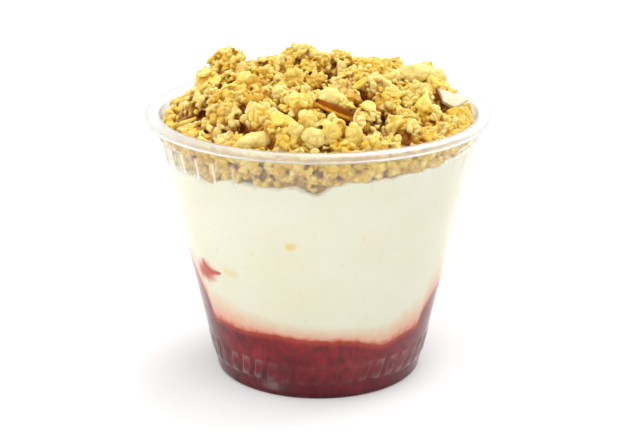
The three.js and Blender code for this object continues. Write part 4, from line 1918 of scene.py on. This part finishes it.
            # The loose pieces get no painted shade and a little painted highlight all over.
            skin.fields["hollow"] = np.zeros(len(skin.points))
            skin.fields["raised"] = np.full(len(skin.points), 0.3)
            finished(mesh_of(kind.name, skin), material, "granola")

    def large(self, material: Material, trees: list) -> None:
        """Sets the large crisps and upright oats into the heap: the named ones and more all over it.

        Args:
            material: The granola's material.
            trees: The skins that they are set into.
        """
        rng = np.random.default_rng(self.seed + 60)
        k = np.arange(self.strewn)
        reach = (self.radius - 4) * np.sqrt((k + 0.5) / self.strewn)
        at, normals = landings(trees, k * math.tau * GOLDEN_SHARE + 1, reach)
        size = rng.uniform(1.3, 2.3, (len(at), 1)) * rng.uniform(0.7, 1.25, (len(at), 3))
        strewn = Lumps(at - 0.2 * size * normals, size, tumbled(rng, len(at)), rng.uniform(0, 0.2, len(at)))
        skins = [
            crisps(strewn.kept(self.exposed(strewn)), ball_grid(16, 24), rng, 9.0),
            crisps(Lumps.of(LARGE_CRISPS), ball_grid(26, 36), rng, 12.0),
            oat_flakes(Lumps.of(UPRIGHT_OATS), ball_grid(16, 28), rng),
        ]
        mesh = mesh_of("large_crisps", joined(skins))
        points = read_points(mesh)
        write_points(mesh, points + 0.6 * noise(points, 2.8, 63)[:, None] * read_normals(mesh))
        crease = self.crumbly(mesh, np.array(0.75))
        # Painted shade in the crumb's creases, and a painted highlight elsewhere.
        write_fields(mesh, {"hollow": 0.2 * crease, "raised": 0.8 * (1 - crease)})
        finished(mesh, material, "granola")

    def dropped(self, kind: Scatter, trees: list, rng: Random) -> Surface:
        """Loose oats or crumbs, dropped straight down onto the clusters or into the gaps between them.

        Args:
            kind: What is dropped.
            trees: The skins that it may land on.
            rng: Random source.

        Returns:
            Those that found a place, as one surface.
        """
        reach = (self.radius - 2) * np.sqrt(rng.uniform(0, 1, kind.count))
        at, normals = landings(trees, rng.uniform(0, math.tau, kind.count), reach)
        stays = (normals[:, 2] > kind.level) & (off_axis(at) < self.radius - kind.inset)
        if kind.in_gaps:
            stays &= [self.on_core(place) for place in at]
        at, normals = at[stays], normals[stays]
        count = len(at)
        normals = unit(normals + rng.normal(scale=0.15, size=(count, 3)))
        size = rng.uniform(kind.low, kind.high, (count, 3))
        toast = np.clip(rng.normal(0.3, 0.15, count), 0, 1)
        if kind.oats:
            spin = rng.uniform(0, math.tau, count)
            lumps = Lumps(at + normals * 0.2, size, facing(normals, spin), toast)
            keep = self.exposed(lumps) & ~SLIVER.hidden_by(at)
            return oat_flakes(lumps.kept(keep), ball_grid(12, 20), rng)
        lumps = Lumps(at, size, tumbled(rng, count), toast)
        return crisps(lumps.kept(self.exposed(lumps)), ball_grid(4, 6), rng, 6.0)


def off_axis(points: Array) -> Array:
    """Distance of places from the cup's axis."""
    return np.hypot(points[..., 0], points[..., 1])


DROP_HEIGHT = 120.0  # well over the heap, mm


def landings(trees: list, theta: Array, reach: Array) -> tuple:
    """Where things dropped at an angle and a distance from the axis land.

    Args:
        trees: The skins that they may land on.
        theta: Their angles.
        reach: Their distances.

    Returns:
        The places and the normals there, of those that hit the highest skin under them.
    """
    found = []
    for x, y, z in on_circle(theta, reach, DROP_HEIGHT):
        hits = [tree.ray_cast(Vector((x, y, z)) * MM, Vector((0, 0, -1))) for tree in trees]
        hits = [hit for hit in hits if hit[0] is not None]
        if hits:
            place, normal, *_ = min(hits, key=lambda hit: hit[3])
            found.append((np.array(place) / MM, np.array(normal)))
    at, normals = (np.array(values) for values in zip(*found))
    return at, normals


def shells(mesh: Mesh, least: float) -> Surface:
    """A remeshed skin without its inner bubbles and its specks.

    Args:
        mesh: A mesh of quads with the point attribute "toast".
        least: The least volume of a shell that stays, in cubic millimetres.

    Returns:
        The shells that stay. Points joined by an edge take the lower of their two labels, again and again,
        until each shell has one label. A shell's volume is the sum of p0 . (p1 x p2 + p2 x p3) / 6 over its
        faces, which is below nought for a bubble, because its faces point into it.
    """
    points = read_points(mesh)
    toast = read(mesh.attributes["toast"].data, "value", 1)[:, 0]
    quads = read(mesh.loops, "vertex_index", 1, np.int32).reshape(-1, 4)
    a, b = quads.ravel(), np.roll(quads, 1, axis=1).ravel()
    label = np.arange(len(points))
    while (label[a] != label[b]).any():
        low, high = np.minimum(label[a], label[b]), np.maximum(label[a], label[b])
        np.minimum.at(label, high, low)
        while (label[label] != label).any():
            label = label[label]
    p0, p1, p2, p3 = (points[quads[:, k]] for k in range(4))
    volumes = (p0 * (np.cross(p1, p2) + np.cross(p2, p3))).sum(axis=-1) / 6
    total = np.bincount(label[quads[:, 0]], volumes, len(points))
    stays = total[label] > least
    quads = quads[stays[quads[:, 0]]]
    number = np.cumsum(stays) - 1
    return Surface(points[stays], number[quads.ravel()], np.full(len(quads), 4), {"toast": toast[stays]})


class HeightMap:
    """The heap's own top, blurred twice over, so that clefts and small gaps lie under it; depth under it sets
    painted shade, and height over it a painted highlight.
    """

    step: float = 0.5
    half: float = 45.0

    def __init__(self, points: Array, heap: Granola) -> None:
        """Takes the highest point over each cell, and blurs that map coarsely and finely.

        Args:
            points: The clusters' points.
            heap: The heap, for its dome and its blurs.
        """
        line = np.arange(-self.half, self.half, self.step)
        x, y = np.meshgrid(line, line, indexing="ij")
        height = heap.dome(np.hypot(x, y))
        np.maximum.at(height, self.cells(points), points[:, 2])
        self.fine = self.blurred(height, heap.fine_rounds)
        self.coarse = self.blurred(height, heap.coarse_rounds)

    def blurred(self, height: Array, rounds: int) -> Array:
        """Averages each cell with its four neighbours.

        Args:
            height: The map.
            rounds: How often.

        Returns:
            The blurred map.
        """
        for _ in range(rounds):
            beside = [np.roll(height, way, axis) for way in (1, -1) for axis in (0, 1)]
            height = (height + sum(beside)) / 5
        return height

    def cells(self, points: Array) -> tuple:
        """The cell that each point lies over."""
        last = int(2 * self.half / self.step) - 1
        return tuple(np.clip(((points[:, :2] + self.half) / self.step).astype(int), 0, last).T)

    def depths(self, points: Array) -> tuple:
        """How far each point lies under the coarse and the fine blurred top, in millimetres."""
        cells = self.cells(points)
        return self.coarse[cells] - points[:, 2], self.fine[cells] - points[:, 2]


# ---- the studio ----


@dataclass(frozen=True)
class Lamp:
    """A broad far lamp."""

    name: str  # its name
    azimuth: float  # where it stands, in degrees from the front towards the right
    elevation: float  # its height over the horizon, in degrees
    angle: float  # its apparent width, in degrees
    strength: float  # its light on a surface that faces it

    def build(self) -> None:
        """Hangs the lamp."""
        data = bpy.data.lights.new(self.name, "SUN")
        data.energy = self.strength
        data.angle = math.radians(self.angle)
        turn = (math.radians(90 - self.elevation), 0, math.radians(self.azimuth))
        placed(self.name, data).rotation_euler = turn


@dataclass
class Studio:
    """White paper, soft daylight from the right and behind, and the camera. Millimetres and degrees."""

    lens: float = 93.6
    distance: float = 450.0
    elevation: float = 18.8
    aim_height: float = 40.8
    aside: float = -0.8
    paper_half: float = 6000.0
    lamps: tuple = (
        Lamp("key", 138, 62, 40, 1.5),
        Lamp("front fill", -32, 40, 60, 0.5),
        Lamp("side fill", -95, 45, 60, 0.35),
    )
    dim: float = 0.66  # the walls' light on the camera's side
    bright: float = 1.08  # and everywhere else

    def camera(self) -> None:
        """Places the camera at the viewing angle, aimed at the cup's middle."""
        data = bpy.data.cameras.new("camera")
        data.lens = self.lens
        data.clip_start = 0.01
        camera = placed("camera", data)
        tilt = math.radians(self.elevation)
        back, up = self.distance * math.cos(tilt), self.distance * math.sin(tilt)
        camera.location = Vector((self.aside, -back, self.aim_height + up)) * MM
        camera.rotation_euler = (math.pi / 2 - tilt, 0, 0)
        bpy.context.scene.camera = camera

    def floor(self) -> None:
        """Lays the paper: a wide sheet under the cup."""
        h = self.paper_half * MM
        mesh = bpy.data.meshes.new("paper")
        mesh.from_pydata([(-h, -h, 0), (h, -h, 0), (h, h, 0), (-h, h, 0)], [], [(0, 1, 2, 3)])
        mesh.materials.append(PaperSweep().build())
        placed("paper", mesh)

    def sky(self) -> None:
        """Surrounds the set with white walls that are dimmer on the camera's side."""
        world = bpy.data.worlds.new("studio")
        bpy.context.scene.world = world
        world.use_nodes = True
        world.node_tree.nodes.clear()
        node = partial(add_node, world.node_tree)
        place = node("TexCoord", {}, "Generated")
        depth = node("SeparateXYZ", {0: place}, "Y")
        sides = {"From Min": -0.9, "From Max": -0.2, "To Min": self.dim, "To Max": self.bright}
        walls = node("MapRange", {"interpolation_type": "SMOOTHSTEP", **sides, "Value": depth})
        light = node("Background", {"Color": linear("#ffffff"), "Strength": walls})
        node("OutputWorld", {"Surface": light})

    def build(self) -> None:
        """Sets up the whole studio."""
        self.camera()
        self.floor()
        self.sky()
        for lamp in self.lamps:
            lamp.build()
        bpy.context.scene.view_settings.view_transform = "Standard"


def main() -> None:
    """Builds every sub-assembly in order."""
    Studio().build()
    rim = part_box("cup")[1]
    wall = CupWall()
    Cup(wall, rim.x / MM, rim.z / MM).build(ClearSheet())
    layers = Layers(wall)
    Compote(layers).build(CookedStrawberry())
    Yogurt(layers).build(SetYogurt())
    Granola(layers).build(BakedOats())
    Nuts().build()


if __name__ == "__main__":
    main()
